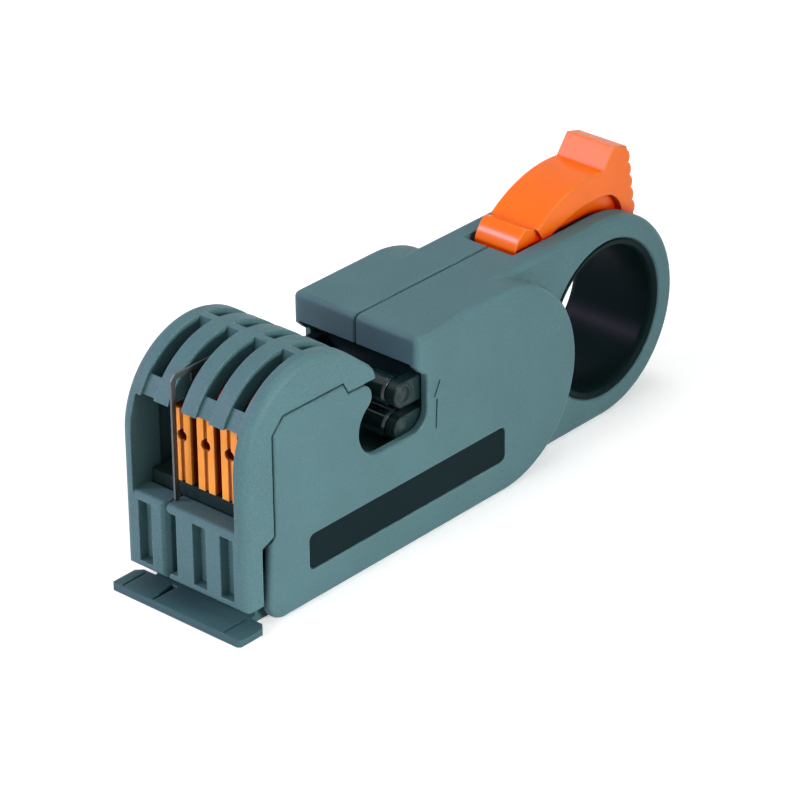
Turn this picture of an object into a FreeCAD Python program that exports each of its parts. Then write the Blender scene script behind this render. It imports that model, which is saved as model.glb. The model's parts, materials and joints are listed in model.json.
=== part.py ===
import FreeCAD, Part

import math
import os

import Sketcher

# Coaxial cable stripper, in millimetres. Stations run along the tool from the front edge of the
# housing floor towards the finger ring, widths run across it and heights run up from the surface
# that it lies on. The cable lies across the tool, between the blades and two spring-loaded rollers.

SIZES = {
    # Housing
    "body_height": 38.1,
    "body_half_width": 13.6,
    "seam_half_gap": 0.1,
    "side_wall": 1.4,
    "floor_wall": 2.0,
    "panel_reach": 4.0,
    "panel_corner": 4.0,
    "panel_lean": 0.9,
    "riser_station": 1.0,
    "far_extra": 0.3,
    "head_far_extra": 0.6,
    "bulge_station": 55.0,
    "far_bulge_station": 52.5,
    "block_station": 32.3,
    "block_lip_height": 32.6,
    "block_lip_radius": 1.1,
    "edge_rounding": 0.9,
    "port_drop": 1.6,
    "port_rim": 0.25,
    "seam_bevel": 0.25,
    "core_front": 27.5,
    "core_rear": 40.0,
    "rear_core_front": 48.0,
    "rear_core_rear": 59.0,
    "core_margin": 1.0,
    # Seam between the blade head and the housing
    "seam_height": 36.65,
    "seam_bend_station": 0.6,
    "seam_front": 1.9,
    "seam_shoulder_height": 15.8,
    "shoulder_drop": 1.2,
    "hook_station": 15.9,
    "hook_rake": 0.56,
    "seam_gap": 0.3,
    # Side port for the cable
    "port_station": 23.5,
    "port_height": 26.0,
    "port_radius": 5.25,
    "port_rear": 35.0,
    "port_corner": 3.5,
    "finger_tip_radius": 2.3,
    # Inner bays
    "magazine_bay_rear": 20.6,
    "carriage_bay_floor": 16.5,
    "carriage_bay_ceiling": 32.9,
    "carriage_bay_rear": 54.5,
    "web_thickness": 2.0,
    "lever_bay_floor": 20.5,
    "deck_thickness": 2.0,
    # Handle and finger ring
    "handle_half_width": 9.3,
    "handle_rounding": 1.2,
    "ring_station": 87.2,
    "ring_hole_radius": 14.8,
    "ring_inner_wall": 1.4,
    "liner_wall": 1.4,
    "liner_lip": 1.1,
    # Lever slot and thumb lever
    "slot_station": 66.3,
    "slot_end": 84.0,
    "slot_half_width": 5.6,
    "groove_sink": 1.4,
    "groove_start_angle": 104.0,
    "groove_end_angle": 40.0,
    "lever_half_width": 5.3,
    "foot_half_width": 4.6,
    "foot_station": 68.3,
    "leg_station": 57.3,
    "leg_thickness": 5.0,
    "head_station": 91.2,
    "head_height": 48.6,
    "arch_crown_height": 45.0,
    "arch_back_radius": 26.0,
    "crown_run": 2.8,
    "brow_run": 6.1,
    "brow_drop": 0.9,
    "crest_run": 6.3,
    "crest_drop": 1.7,
    "toe_run": 5.0,
    "toe_rise": 2.1,
    "toe_slope": 1.3,
    "arch_depth": 1.7,
    "hood_gap": 0.5,
    "foot_drop": 0.6,
    "foot_radius": 5.5,
    "foot_crest_run": 2.7,
    "foot_crest_rise": 2.9,
    "tongue_depth": 6.9,
    "tongue_run": 5.2,
    "tongue_rise": 4.2,
    "web_front": 13.9,
    "web_rear": 5.0,
    "web_depth": 5.0,
    "web_heel": 2.1,
    "web_corner_radius": 5.2,
    "web_top_radius": 28.0,
    "teeth": 5,
    "tooth_radius": 1.75,
    "lever_recess": 1.3,
    "heel_angle": 50.7,
    "heel_tuck_angle": 58.0,
    "heel_low_angle": 47.5,
    "heel_low_depth": 0.4,
    # Bare plate on the label side
    "label_station": 5.7,
    "label_length": 49.2,
    "label_height": 6.07,
    "label_width": 6.66,
    "label_corner": 1.2,
    "label_recess": 0.6,
    "label_plate": 0.45,
    # Blade head
    "head_inset": 0.3,
    "cheek": 2.2,
    "head_front": 9.0,
    "head_foot_height": 4.2,
    "front_wall": 4.0,
    "sill_height": 18.4,
    "window_top": 35.5,
    "arch_station": 7.1,
    "arch_height": 28.5,
    "arch_radius": 16.1,
    "rib_depth": 3.2,
    "bar_recess": 0.6,
    "nose_angle": 51.0,
    "nose_station": 22.5,
    "nose_bottom": 34.8,
    "nose_wall": 5.2,
    "slot_pitch": 6.1,
    "rib_slot": 2.9,
    "crest_front_angle": 91.0,
    "crest_rear_angle": 85.5,
    "bar_angle": 140.0,
    "rib_end_angle": 162.0,
    "head_rounding": 1.5,
    "sill_pocket": 2.0,
    "sill_lip": 1.4,
    "sill_rounding": 0.8,
    "slit_lip": 2.45,
    "slit_width": 0.55,
    "slit_near": 2.1,
    "slit_flare": 0.9,
    "slit_flare_depth": 1.4,
    "slit_lip_bevel": 0.5,
    "nose_groove_depth": 2.4,
    "nose_groove_length": 5.0,
    # Blade magazine
    "flange_reach": 12.2,
    "flange_half_width": 14.5,
    "flange_thickness": 1.2,
    "flange_corner": 0.5,
    "flange_depth": 5.5,
    "flange_taper": 1.1,
    "flange_overlap": 0.4,
    "flange_bevel": 0.4,
    "notch_front": 11.6,
    "notch_rear": 6.1,
    "notch_depth": 0.9,
    "notch_near": 5.3,
    "notch_far": 6.4,
    "notch_tip": 0.3,
    "line_near": 10.2,
    "line_far": 12.25,
    "line_width": 0.3,
    "line_depth": 0.25,
    "magazine_front": 4.6,
    "magazine_wall": 2.0,
    "fin_thickness": 1.0,
    "fin_top": 33.6,
    "fin_setback": 1.2,
    # Carriers, blades and depth screws
    "carrier_pitch": 5.25,
    "carrier_middle": 1.35,
    "carrier_width": 3.7,
    "carrier_front": 5.0,
    "carrier_length": 24.5,
    "carrier_bottom": 21.0,
    "carrier_height": 13.3,
    "groove_width": 0.8,
    "groove_depth": 0.5,
    "depth_screw_radius": 1.0,
    "depth_screw_height": 29.5,
    "depth_screw_length": 8.0,
    "depth_screw_recess": 2.2,
    "depth_screw_room": 2.0,
    "blade_pocket": 0.2,
    "blade_bevel_run": 1.9,
    "blade_bevel_rise": 1.8,
    "blade_thickness": 0.5,
    "blade_tip": 24.5,
    "blade_bottom": 21.4,
    "blade_height": 7.4,
    "blade_root": 12.2,
    # Retaining clip
    "clip_thickness": 0.4,
    "clip_across": 3.6,
    "clip_leg": 0.9,
    "clip_front": 7.3,
    "clip_height": 41.2,
    "clip_bend": 1.0,
    "clip_strip": 0.9,
    "clip_split": 0.25,
    "clip_split_front": 3.8,
    "clip_split_rear": 9.7,
    "clip_depth": 2.6,
    "clip_length": 12.6,
    # Roller carriage
    "roller_station": 30.8,
    "lower_roller_height": 21.6,
    "roller_radius": 2.6,
    "roller_gap": 1.0,
    "roller_end_gap": 0.2,
    "roller_pin_radius": 1.2,
    "roller_bevel": 0.4,
    "pin_bevel": 0.25,
    "hub_radius": 2.25,
    "arm_thickness": 2.0,
    "carriage_inset": 1.7,
    "carriage_station": 36.0,
    "carriage_thickness": 6.0,
    "carriage_travel": 7.5,
    # Pull rod, spring, lever pin and housing screws
    "rod_radius": 2.0,
    "rod_height": 24.7,
    "rod_end": 61.3,
    "spring_radius": 3.6,
    "spring_wire": 0.45,
    "spring_turns": 5,
    "spring_seat": 0.15,
    "lever_pin_radius": 1.0,
    "lever_pin_station": 59.8,
    "screw_radius": 1.1,
    "screw_head_radius": 2.4,
    "screw_head": 1.8,
    "screw_length": 19.0,
    "screw_height": 9.0,
    "screw_sink": 0.6,
    "screw_head_play": 0.2,
    "rod_seat": 1.0,
    # Clearances
    "bore_clearance": 0.05,
    "slide_clearance": 0.3,
}

# Stations of the housing screws
SCREW_STATIONS = (23.5, 44.0, 63.0)

# Slots between the ribs of the arch, and fins between and beside the carriers
RIB_SLOTS = 4
FINS = 4

# How far a cut runs past the solid, and how far two fills of one body run into each other
PAST = 1.0

# Shares of a rounding's radius that two rounds of bevels take, so that their flats follow its arc
FIRST_FLAT = 0.634
SECOND_FLAT = 0.27

DOC = FreeCAD.newDocument("cable_stripper")
PARTS = []


class Size:
    """A length or number that carries its value and the sheet formula that gives it."""

    def __init__(self, value, formula):
        self.value = value
        self.formula = formula

    def __add__(self, other):
        other = sized(other)
        return Size(self.value + other.value, f"({self.formula} + {other.formula})")

    def __sub__(self, other):
        other = sized(other)
        return Size(self.value - other.value, f"({self.formula} - {other.formula})")

    def __mul__(self, other):
        other = sized(other)
        return Size(self.value * other.value, f"({self.formula} * {other.formula})")

    def __truediv__(self, other):
        other = sized(other)
        return Size(self.value / other.value, f"({self.formula} / {other.formula})")

    def __neg__(self):
        return Size(-self.value, f"(0 - {self.formula})")

    __radd__ = __add__
    __rmul__ = __mul__

    def __rsub__(self, other):
        return sized(other) - self


def sized(number):
    """Return number as a Size, so that plain numbers and named sizes mix in a formula."""
    return number if isinstance(number, Size) else Size(number, repr(float(number)))


def named(alias):
    """Return the named size from the sheet."""
    return Size(SIZES[alias], "Sizes." + alias)


def root(size):
    """Return the square root of a Size."""
    return Size(math.sqrt(size.value), f"sqrt({size.formula})")


def polar(centre, radius, angle):
    """Return the point at radius and angle, in degrees, about centre."""
    turn = math.radians(angle.value)
    east = Size(math.cos(turn), f"cos({angle.formula} * 1 deg)")
    north = Size(math.sin(turn), f"sin({angle.formula} * 1 deg)")
    return (centre[0] + radius * east, centre[1] + radius * north)


def size_sheet():
    """Write every driving dimension to a cell of its own, under its name."""
    sheet = DOC.addObject("Spreadsheet::Sheet", "Sizes")
    for row, (alias, value) in enumerate(SIZES.items(), start=1):
        sheet.set(f"A{row}", alias)
        sheet.set(f"B{row}", str(value))
        sheet.setAlias(f"B{row}", alias)
    DOC.recompute()


def arc_points(start, end, radius):
    """Return the middle point of the shorter arc; a positive radius turns left from start to end."""
    dx = end[0] - start[0]
    dy = end[1] - start[1]
    chord = math.hypot(dx, dy)
    sagitta = abs(radius) - math.sqrt(max(radius * radius - chord * chord / 4, 0.0))
    side = math.copysign(sagitta, radius)
    return ((start[0] + end[0]) / 2 + side * dy / chord, (start[1] + end[1]) / 2 - side * dx / chord)


class Piece:
    """One sub-part: a body whose features are bound to the sheet."""

    AXIS_OF_PLANE = {"XY_Plane": 1, "XZ_Plane": -1, "YZ_Plane": 1}

    def __init__(self, label, along=0, across=0, up=0):
        self.body = DOC.addObject("PartDesign::Body", label)
        self.body.Label = label
        shift = (named("flange_reach") - named("ring_station") - named("body_height") / 2) / 2
        self.body.setExpression("Placement.Base.x", (shift + along).formula)
        self.body.setExpression("Placement.Base.y", sized(across).formula)
        self.body.setExpression("Placement.Base.z", sized(up).formula)
        self.planes = {item.Role: item for item in self.body.Origin.OriginFeatures}
        PARTS.append(self.body)

    def sketch(self, plane, start, loops):
        """Draw closed loops on a plane: lists of corners (u, v) or (u, v, radius of the arc to it)."""
        sketch = self.body.newObject("Sketcher::SketchObject", self.body.Label + "_sketch")
        sketch.AttachmentSupport = [(self.planes[plane], "")]
        sketch.MapMode = "FlatFace"
        offset = sized(start) * self.AXIS_OF_PLANE[plane]
        sketch.setExpression("AttachmentOffset.Base.z", offset.formula)
        for loop in loops:
            if len(loop) == 1:
                self.circle(sketch, *loop[0])
            else:
                self.outline(sketch, loop)
        return sketch

    def fix(self, sketch, kind, *place_and_size):
        """Add a dimension to the sketch and bind it to its formula."""
        *place, size = place_and_size
        index = sketch.addConstraint(Sketcher.Constraint(kind, *place, size.value))
        sketch.setExpression(f"Constraints[{index}]", size.formula)

    def circle(self, sketch, u, v, radius):
        """Draw a circle about (u, v)."""
        u, v, radius = sized(u), sized(v), sized(radius)
        middle = FreeCAD.Vector(u.value, v.value, 0)
        item = sketch.addGeometry(Part.Circle(middle, FreeCAD.Vector(0, 0, 1), radius.value))
        self.fix(sketch, "DistanceX", item, 3, u)
        self.fix(sketch, "DistanceY", item, 3, v)
        self.fix(sketch, "Radius", item, radius)

    def outline(self, sketch, corners):
        """Draw one closed outline of lines and arcs."""
        corners = [tuple(sized(number) for number in corner) for corner in corners]
        items = []
        for number, corner in enumerate(corners):
            onward = corners[(number + 1) % len(corners)]
            start = FreeCAD.Vector(corner[0].value, corner[1].value, 0)
            end = FreeCAD.Vector(onward[0].value, onward[1].value, 0)
            if len(onward) == 3:
                middle = arc_points(start[:2], end[:2], onward[2].value)
                shape = Part.Arc(start, FreeCAD.Vector(*middle, 0), end)
            else:
                shape = Part.LineSegment(start, end)
            items.append(sketch.addGeometry(shape))
        ends = [self.ends_of(sketch, item, corner) for item, corner in zip(items, corners)]
        for number, item in enumerate(items):
            following = (number + 1) % len(items)
            first, last = ends[number]
            sketch.addConstraint(
                Sketcher.Constraint("Coincident", item, last, items[following], ends[following][0])
            )
            self.fix(sketch, "DistanceX", item, first, corners[number][0])
            self.fix(sketch, "DistanceY", item, first, corners[number][1])
            onward = corners[following]
            if len(onward) == 3:
                radius = onward[2] if onward[2].value > 0 else -onward[2]
                self.fix(sketch, "Radius", item, radius)

    def ends_of(self, sketch, item, corner):
        """Return the numbers of an edge's first and last point, as the outline runs."""
        point = sketch.getPoint(item, 1)
        at_start = near(point.x, corner[0].value) and near(point.y, corner[1].value)
        return (1, 2) if at_start else (2, 1)

    def slab(self, plane, start, end, loops, cut=False):
        """Fill or cut the loops from one position across the plane to another."""
        start, end = sized(start), sized(end)
        before = self.volume()
        sketch = self.sketch(plane, start, loops)
        kind = "PartDesign::Pocket" if cut else "PartDesign::Pad"
        feature = self.body.newObject(kind, self.body.Label + ("_cut" if cut else "_fill"))
        feature.Profile = sketch
        forward = end.value > start.value
        length = end - start if forward else start - end
        feature.setExpression("Length", length.formula)
        with_normal = forward == (self.AXIS_OF_PLANE[plane] > 0)
        feature.Reversed = with_normal if cut else not with_normal
        self.settle(feature)
        if cut and self.volume() > before - 1e-6:
            raise RuntimeError(f"{feature.Name} cuts nothing")
        return feature

    def turned(self, loop, cut=False):
        """Turn an outline, drawn as (distance from the axis, position along it), about the Y axis."""
        sketch = self.sketch("XY_Plane", 0, [loop])
        kind = "PartDesign::Groove" if cut else "PartDesign::Revolution"
        feature = self.body.newObject(kind, self.body.Label + "_turned")
        feature.Profile = sketch
        feature.ReferenceAxis = (sketch, ["V_Axis"])
        feature.Angle = 360
        self.settle(feature)

    def repeat(self, feature, axis, pitch, count, backwards=False):
        """Repeat a feature along one of the body's axes."""
        pattern = self.body.newObject("PartDesign::LinearPattern", self.body.Label + "_row")
        pattern.Originals = [feature]
        pattern.Direction = (self.planes[axis], [""])
        pattern.Reversed = backwards
        pattern.Mode = "Spacing"
        pattern.setExpression("Offset", sized(pitch).formula)
        pattern.Occurrences = count
        self.body.Tip = pattern
        self.settle(pattern)

    def rounded(self, radius, wanted, kind="Fillet"):
        """Round or bevel the edges that wanted picks from the body so far."""
        base = self.body.Tip
        names = [f"Edge{n}" for n, edge in enumerate(base.Shape.Edges, start=1) if wanted(edge)]
        if not names:
            raise RuntimeError(f"no edge to round on {self.body.Label}")
        feature = self.body.newObject("PartDesign::" + kind, self.body.Label + "_edges")
        feature.Base = (base, names)
        feature.setExpression("Radius" if kind == "Fillet" else "Size", sized(radius).formula)
        self.settle(feature)

    def softened(self, radius, wanted):
        """Round the edges that wanted picks with three narrow flats along the arc of the radius."""
        sharp = Part.makeCompound([edge for edge in self.body.Tip.Shape.Edges if wanted(edge)])
        radius = sized(radius)
        cut = radius * FIRST_FLAT
        self.rounded(cut, wanted, kind="Chamfer")

        def beside(edge):
            return ends_at(edge, lambda p: near(Part.Vertex(p).distToShape(sharp)[0], cut.value))

        self.rounded(radius * SECOND_FLAT, beside, kind="Chamfer")

    def volume(self):
        """Return the volume of the body so far."""
        return self.body.Tip.Shape.Volume if self.body.Tip else 0.0

    def settle(self, feature):
        """Recompute and stop on a feature that failed."""
        DOC.recompute()
        if "Invalid" in feature.State or "Error" in feature.State or not feature.Shape.isValid():
            raise RuntimeError(f"{feature.Name} of {self.body.Label} failed")


def box(u0, v0, u1, v1):
    """Return the outline of a rectangle."""
    return [(u0, v0), (u1, v0), (u1, v1), (u0, v1)]


def soft_box(u0, v0, u1, v1, radius):
    """Return the outline of a rectangle with round corners."""
    u0, v0, u1, v1, radius = (sized(number) for number in (u0, v0, u1, v1, radius))
    return [
        (u0 + radius, v0, radius),
        (u1 - radius, v0),
        (u1, v0 + radius, radius),
        (u1, v1 - radius),
        (u1 - radius, v1, radius),
        (u0 + radius, v1),
        (u0, v1 - radius, radius),
        (u0, v0 + radius),
    ]


def near(number, target, margin=0.02):
    """Tell whether two numbers agree."""
    return abs(number - target) < margin


def ends_at(edge, test):
    """Tell whether both ends and the middle of an edge pass a test."""
    first, last = edge.ParameterRange
    points = (edge.valueAt(first), edge.valueAt((first + last) / 2), edge.valueAt(last))
    return all(test(point) for point in points)


def across_edge(edge, station, height):
    """Tell whether an edge runs straight across the tool at a station and height."""
    return ends_at(edge, lambda p: near(p.x, station.value) and near(p.z, height.value))


def half_width(side):
    """Return where a side face of the housing lies; the screw side stands a little further out."""
    width = named("body_half_width")
    return width + named("far_extra") if side > 0 else -width


def head_half_width():
    """Return half the head's width, which stays a little inside the housing's."""
    return named("body_half_width") - named("head_inset")


def carriage_half_width():
    """Return half the carriage's width, which follows the housing's."""
    return named("body_half_width") - named("carriage_inset")


def roller_height(place):
    """Return the height of a roller's pin; the upper roller stays clear of the lower one."""
    low = named("lower_roller_height")
    return low if place == "lower" else low + named("roller_radius") * 2 + named("roller_gap")


def side_outline(side):
    """Return the side outline of the block, with the throat, the port and the seam to the head."""
    top = named("body_height")
    half = top / 2
    bulge = named("far_bulge_station" if side > 0 else "bulge_station")
    front = -named("panel_reach")
    corner = named("panel_corner")
    block = named("block_station")
    lip = named("block_lip_radius")
    lip_height = named("block_lip_height")
    reach = named("port_radius")
    port = (named("port_station"), named("port_height"))
    rear = named("port_rear")
    port_corner = named("port_corner")
    port_top = lip_height - named("port_drop")
    floor = port[1] - reach
    tip = named("finger_tip_radius")
    finger_top = named("nose_bottom") - named("seam_gap")
    rise = finger_top - tip - port[1]
    run = root((reach + tip) * (reach + tip) - rise * rise)
    share = reach / (reach + tip)
    seam = named("seam_height")
    seam_front = -named("seam_front")
    bend = named("seam_bend_station")
    shoulder = named("seam_shoulder_height")
    hook = named("hook_station")
    rake = named("hook_rake")
    return [
        (front + corner, 0, corner),
        (bulge, 0),
        (bulge + half, half, half),
        (bulge, top, half),
        (block + lip, top),
        (block, top - lip, lip),
        (block, lip_height),
        (rear - lip, port_top),
        (rear, port_top - lip, -lip),
        (rear, floor + port_corner),
        (rear - port_corner, floor, -port_corner),
        (port[0], floor),
        (port[0] - reach, port[1], -reach),
        (port[0] - run * share, port[1] + rise * share, -reach),
        (port[0] - run, finger_top, tip),
        (hook, finger_top),
        (hook - (seam - finger_top) * rake, seam),
        (bend, seam),
        (seam_front, seam - (bend - seam_front)),
        (seam_front, shoulder),
        (front + named("panel_lean"), shoulder - named("shoulder_drop")),
        (front, corner),
    ]


def bay_outline():
    """Return the hollow for the magazine and the roller carriage, open at the front and the throat."""
    floor = named("floor_wall")
    step = named("magazine_bay_rear")
    bay_floor = named("carriage_bay_floor")
    rear = named("carriage_bay_rear")
    ceiling = named("carriage_bay_ceiling")
    block = named("block_station")
    outside = named("head_height")
    front = -named("panel_reach") - PAST
    riser = -named("riser_station")
    return [
        (front, -PAST),
        (riser, -PAST),
        (riser, floor),
        (step, floor),
        (step, bay_floor),
        (rear, bay_floor),
        (rear, ceiling),
        (block - PAST, ceiling),
        (block - PAST, outside),
        (front, outside),
    ]


def lever_bay_outline():
    """Return the hollow for the lever: under the deck, open through the slot, clear of the ring."""
    front = named("carriage_bay_rear") + named("web_thickness")
    floor = named("lever_bay_floor")
    half = named("body_height") / 2
    centre = named("ring_station")
    reach = named("ring_hole_radius") + named("ring_inner_wall")
    under_deck = named("body_height") - named("deck_thickness")
    outside = named("body_height") + PAST
    end = named("slot_end")
    drop = half - floor
    low = centre - root(reach * reach - drop * drop)
    high = half + root(reach * reach - (centre - end) * (centre - end))
    return [
        (front, floor),
        (low, floor),
        (end, high, -reach),
        (end, outside),
        (named("slot_station"), outside),
        (named("slot_station"), under_deck),
        (front, under_deck),
    ]


def lever_groove():
    """Return the groove along the top of the ring that the lever's heel slides in."""
    half = named("body_height") / 2
    return sector(
        (named("ring_station"), half),
        half - named("groove_sink"),
        half + PAST,
        named("groove_end_angle"),
        named("groove_start_angle"),
    )


def core_loops():
    """Return the cored cells below the carriage, between the screw bosses."""
    margin = named("core_margin")
    low = named("floor_wall") + margin
    high = named("carriage_bay_floor") - named("floor_wall")
    return [
        soft_box(named("core_front"), low, named("core_rear"), high, margin),
        soft_box(named("rear_core_front"), low, named("rear_core_rear"), high, margin),
    ]


def housing_shell(label, side):
    """Build one half of the housing; side is -1 towards the label and 1 towards the screws."""
    shell = Piece(label)
    seam = named("seam_half_gap") * side
    width = half_width(side)
    handle = named("handle_half_width") * side
    wall = width - named("side_wall") * side
    top = named("body_height")
    half = top / 2
    ring = named("ring_station")
    joint = named("bulge_station") - named("web_thickness")
    handle_outline = [(joint, 0), (ring, 0), (ring + half, half, half), (ring, top, half), (joint, top)]
    shell.slab("XZ_Plane", seam, handle, [handle_outline])
    shell.softened(
        named("handle_rounding"),
        lambda edge: ends_at(edge, lambda p: near(p.y, handle.value))
        and edge.BoundBox.XMax > joint.value + PAST,
    )
    shell.slab("XZ_Plane", seam, width, [side_outline(side)])
    shell.slab("XZ_Plane", seam, wall, [bay_outline()], cut=True)
    shell.slab("XZ_Plane", seam, wall, core_loops(), cut=True)
    slot = named("slot_half_width") * side
    shell.slab("XZ_Plane", seam, slot, [lever_bay_outline()], cut=True)
    shell.slab("XZ_Plane", seam, slot, [lever_groove()], cut=True)
    hole = [(ring, half, named("ring_hole_radius"))]
    shell.slab("XZ_Plane", seam, handle + PAST * side, [hole], cut=True)
    web = named("carriage_bay_rear")
    bore = [(0, named("rod_height"), named("rod_radius") + named("bore_clearance"))]
    shell.slab("YZ_Plane", web - PAST, web + named("web_thickness") + PAST, [bore], cut=True)
    screw_fit(shell, side)
    if side < 0:
        recess = width - named("label_recess") * side
        shell.slab("XZ_Plane", width, recess, [label_outline(0)], cut=True)
    return shell


def round_shell(shell, side):
    """Round a shell's block, bevel its port, its half of the seam and the finger ring's hole."""
    width = half_width(side).value
    handle = SIZES["handle_half_width"]
    top = SIZES["body_height"]
    ring = SIZES["ring_station"]
    hole = SIZES["ring_hole_radius"]
    seam = SIZES["seam_half_gap"]
    block = SIZES["block_station"]
    lip = SIZES["block_lip_radius"]
    label_top = SIZES["label_height"] + SIZES["label_width"]
    rim_low = SIZES["seam_shoulder_height"] - SIZES["shoulder_drop"]

    def on_hole(edge):
        return ends_at(
            edge,
            lambda p: near(p.y, handle * side) and near(math.hypot(p.x - ring, p.z - top / 2), hole),
        )

    def on_side(edge):
        box_of = edge.BoundBox
        in_label = (
            box_of.XMin > SIZES["label_station"] - PAST
            and box_of.XMax < SIZES["label_station"] + SIZES["label_length"] + PAST
            and box_of.ZMax < label_top + PAST
            and box_of.ZMin > SIZES["label_height"] - PAST
        )
        is_screw = edge.Curve.TypeId == "Part::GeomCircle" and edge.isClosed()
        return ends_at(edge, lambda p: near(p.y, width)) and not in_label and not is_screw

    def in_rim(point):
        low_enough = point.z < SIZES["block_lip_height"] + 0.01 or point.x < SIZES["port_station"]
        return point.x < SIZES["port_rear"] + 0.01 and point.z > rim_low - 0.01 and low_enough

    def on_seam(edge):
        def test(point):
            on_deck = near(point.z, top) and block < point.x < SIZES["slot_station"] + 0.01
            on_front = near(point.x, block) and point.z > SIZES["block_lip_height"]
            on_lip = near(math.hypot(point.x - block - lip, point.z - top + lip), lip)
            return near(point.y, seam * side) and (on_deck or on_front or on_lip)

        return ends_at(edge, test)

    shell.softened(named("edge_rounding"), lambda edge: on_side(edge) and not ends_at(edge, in_rim))
    shell.rounded(named("port_rim"), lambda edge: on_side(edge) and ends_at(edge, in_rim), kind="Chamfer")
    shell.rounded(named("seam_bevel"), on_seam, kind="Chamfer")
    shell.rounded(named("edge_rounding") / 2, on_hole, kind="Chamfer")


def label_outline(inset):
    """Return the round-cornered outline of the label recess, or of the plate inside it."""
    left = named("label_station")
    low = named("label_height")
    right = left + named("label_length")
    high = low + named("label_width")
    return soft_box(left + inset, low + inset, right - inset, high - inset, named("label_corner"))


def screw_fit(shell, side):
    """Bore a shell for the housing screws: counterbored on one side, blind on the other."""
    width = half_width(1)
    height = named("screw_height")
    seat = width - named("screw_head") - named("screw_sink")
    radius = named("screw_radius") + named("bore_clearance")
    head = named("screw_head_radius") + named("screw_head_play")
    if side > 0:
        heads = [[(station, height, head)] for station in SCREW_STATIONS]
        shell.slab("XZ_Plane", width, seat, heads, cut=True)
        shanks = [[(station, height, radius)] for station in SCREW_STATIONS]
        shell.slab("XZ_Plane", seat, 0, shanks, cut=True)
    else:
        pilots = [[(station, height, radius)] for station in SCREW_STATIONS]
        depth = seat - named("screw_length") - PAST
        shell.slab("XZ_Plane", 0, depth, pilots, cut=True)


def head_outline():
    """Return the side outline of the blade head, from its foot over the arch to the throat nose."""
    arch = (named("arch_station"), named("arch_height"))
    radius = named("arch_radius")
    front = -named("head_front")
    foot = named("head_foot_height")
    turn = named("nose_angle")
    shoulder = polar(arch, radius, turn)
    nose = named("nose_station")
    fall = polar((0, 0), 1, turn)
    gap = named("seam_gap")
    mitre = gap * (root(sized(2)) - 1)
    rake = named("hook_rake")
    seam = named("seam_height")
    low = seam + gap
    bottom = named("nose_bottom")
    bend = named("seam_bend_station")
    seam_front = -named("seam_front")
    rear = front + named("front_wall")
    hook = named("hook_station") + gap * root(rake * rake + 1)
    finger_top = bottom - gap
    return [
        (front, foot),
        (front, arch[1]),
        (arch[0], arch[1] + radius, -radius),
        (*shoulder, -radius),
        (nose, shoulder[1] - (nose - shoulder[0]) * fall[0] / fall[1]),
        (nose, bottom),
        (hook - gap * rake, bottom),
        (hook - (low - finger_top) * rake, low),
        (bend - mitre, low),
        (seam_front - gap, seam - (bend - seam_front) + mitre),
        (seam_front - gap, named("seam_shoulder_height") + mitre),
        (rear, named("seam_shoulder_height") + mitre - named("shoulder_drop")),
        (rear, foot),
    ]


def head_hollow():
    """Return the hollow of the head: window, room over the carriers and inside of the arch."""
    arch = (named("arch_station"), named("arch_height"))
    inner = named("arch_radius") - named("rib_depth")
    turn = named("nose_angle")
    shoulder = polar(arch, inner, turn)
    fall = polar((0, 0), 1, turn)
    rear = named("nose_station") - named("nose_wall")
    top = named("window_top")
    sill = named("sill_height")
    front = -named("head_front") - PAST
    wall = named("front_wall") - named("head_front")
    rise = top - arch[1]
    return [
        (wall, -PAST),
        (wall, sill),
        (front, sill),
        (front, top),
        (arch[0] - root(inner * inner - rise * rise), top),
        (arch[0], arch[1] + inner, -inner),
        (*shoulder, -inner),
        (rear, shoulder[1] - (rear - shoulder[0]) * fall[0] / fall[1]),
        (rear, -PAST),
    ]


def sector(centre, inner, outer, start, end):
    """Return a ring sector about a centre, from one angle to a larger one."""
    return [
        (*polar(centre, inner, start), -inner),
        polar(centre, outer, start),
        (*polar(centre, outer, end), outer),
        polar(centre, inner, end),
    ]


def arch_sector(inner, outer, start, end):
    """Return a ring sector about the arch's centre."""
    return sector((named("arch_station"), named("arch_height")), inner, outer, start, end)


def nose_groove():
    """Return the groove between two ribs behind the crest bar, along the arch to the nose."""
    arch = (named("arch_station"), named("arch_height"))
    outer = named("arch_radius") + PAST
    inner = named("arch_radius") - named("nose_groove_depth")
    turn = named("nose_angle")
    crest = named("crest_rear_angle")
    along = named("nose_groove_length")
    east, north = polar((0, 0), 1, turn)
    low = polar(arch, inner, turn)
    high = polar(arch, outer, turn)
    return [
        (*polar(arch, inner, crest), inner),
        polar(arch, outer, crest),
        (*high, -outer),
        (high[0] + along * north, high[1] - along * east),
        (low[0] + along * north, low[1] - along * east),
        low,
    ]


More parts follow.
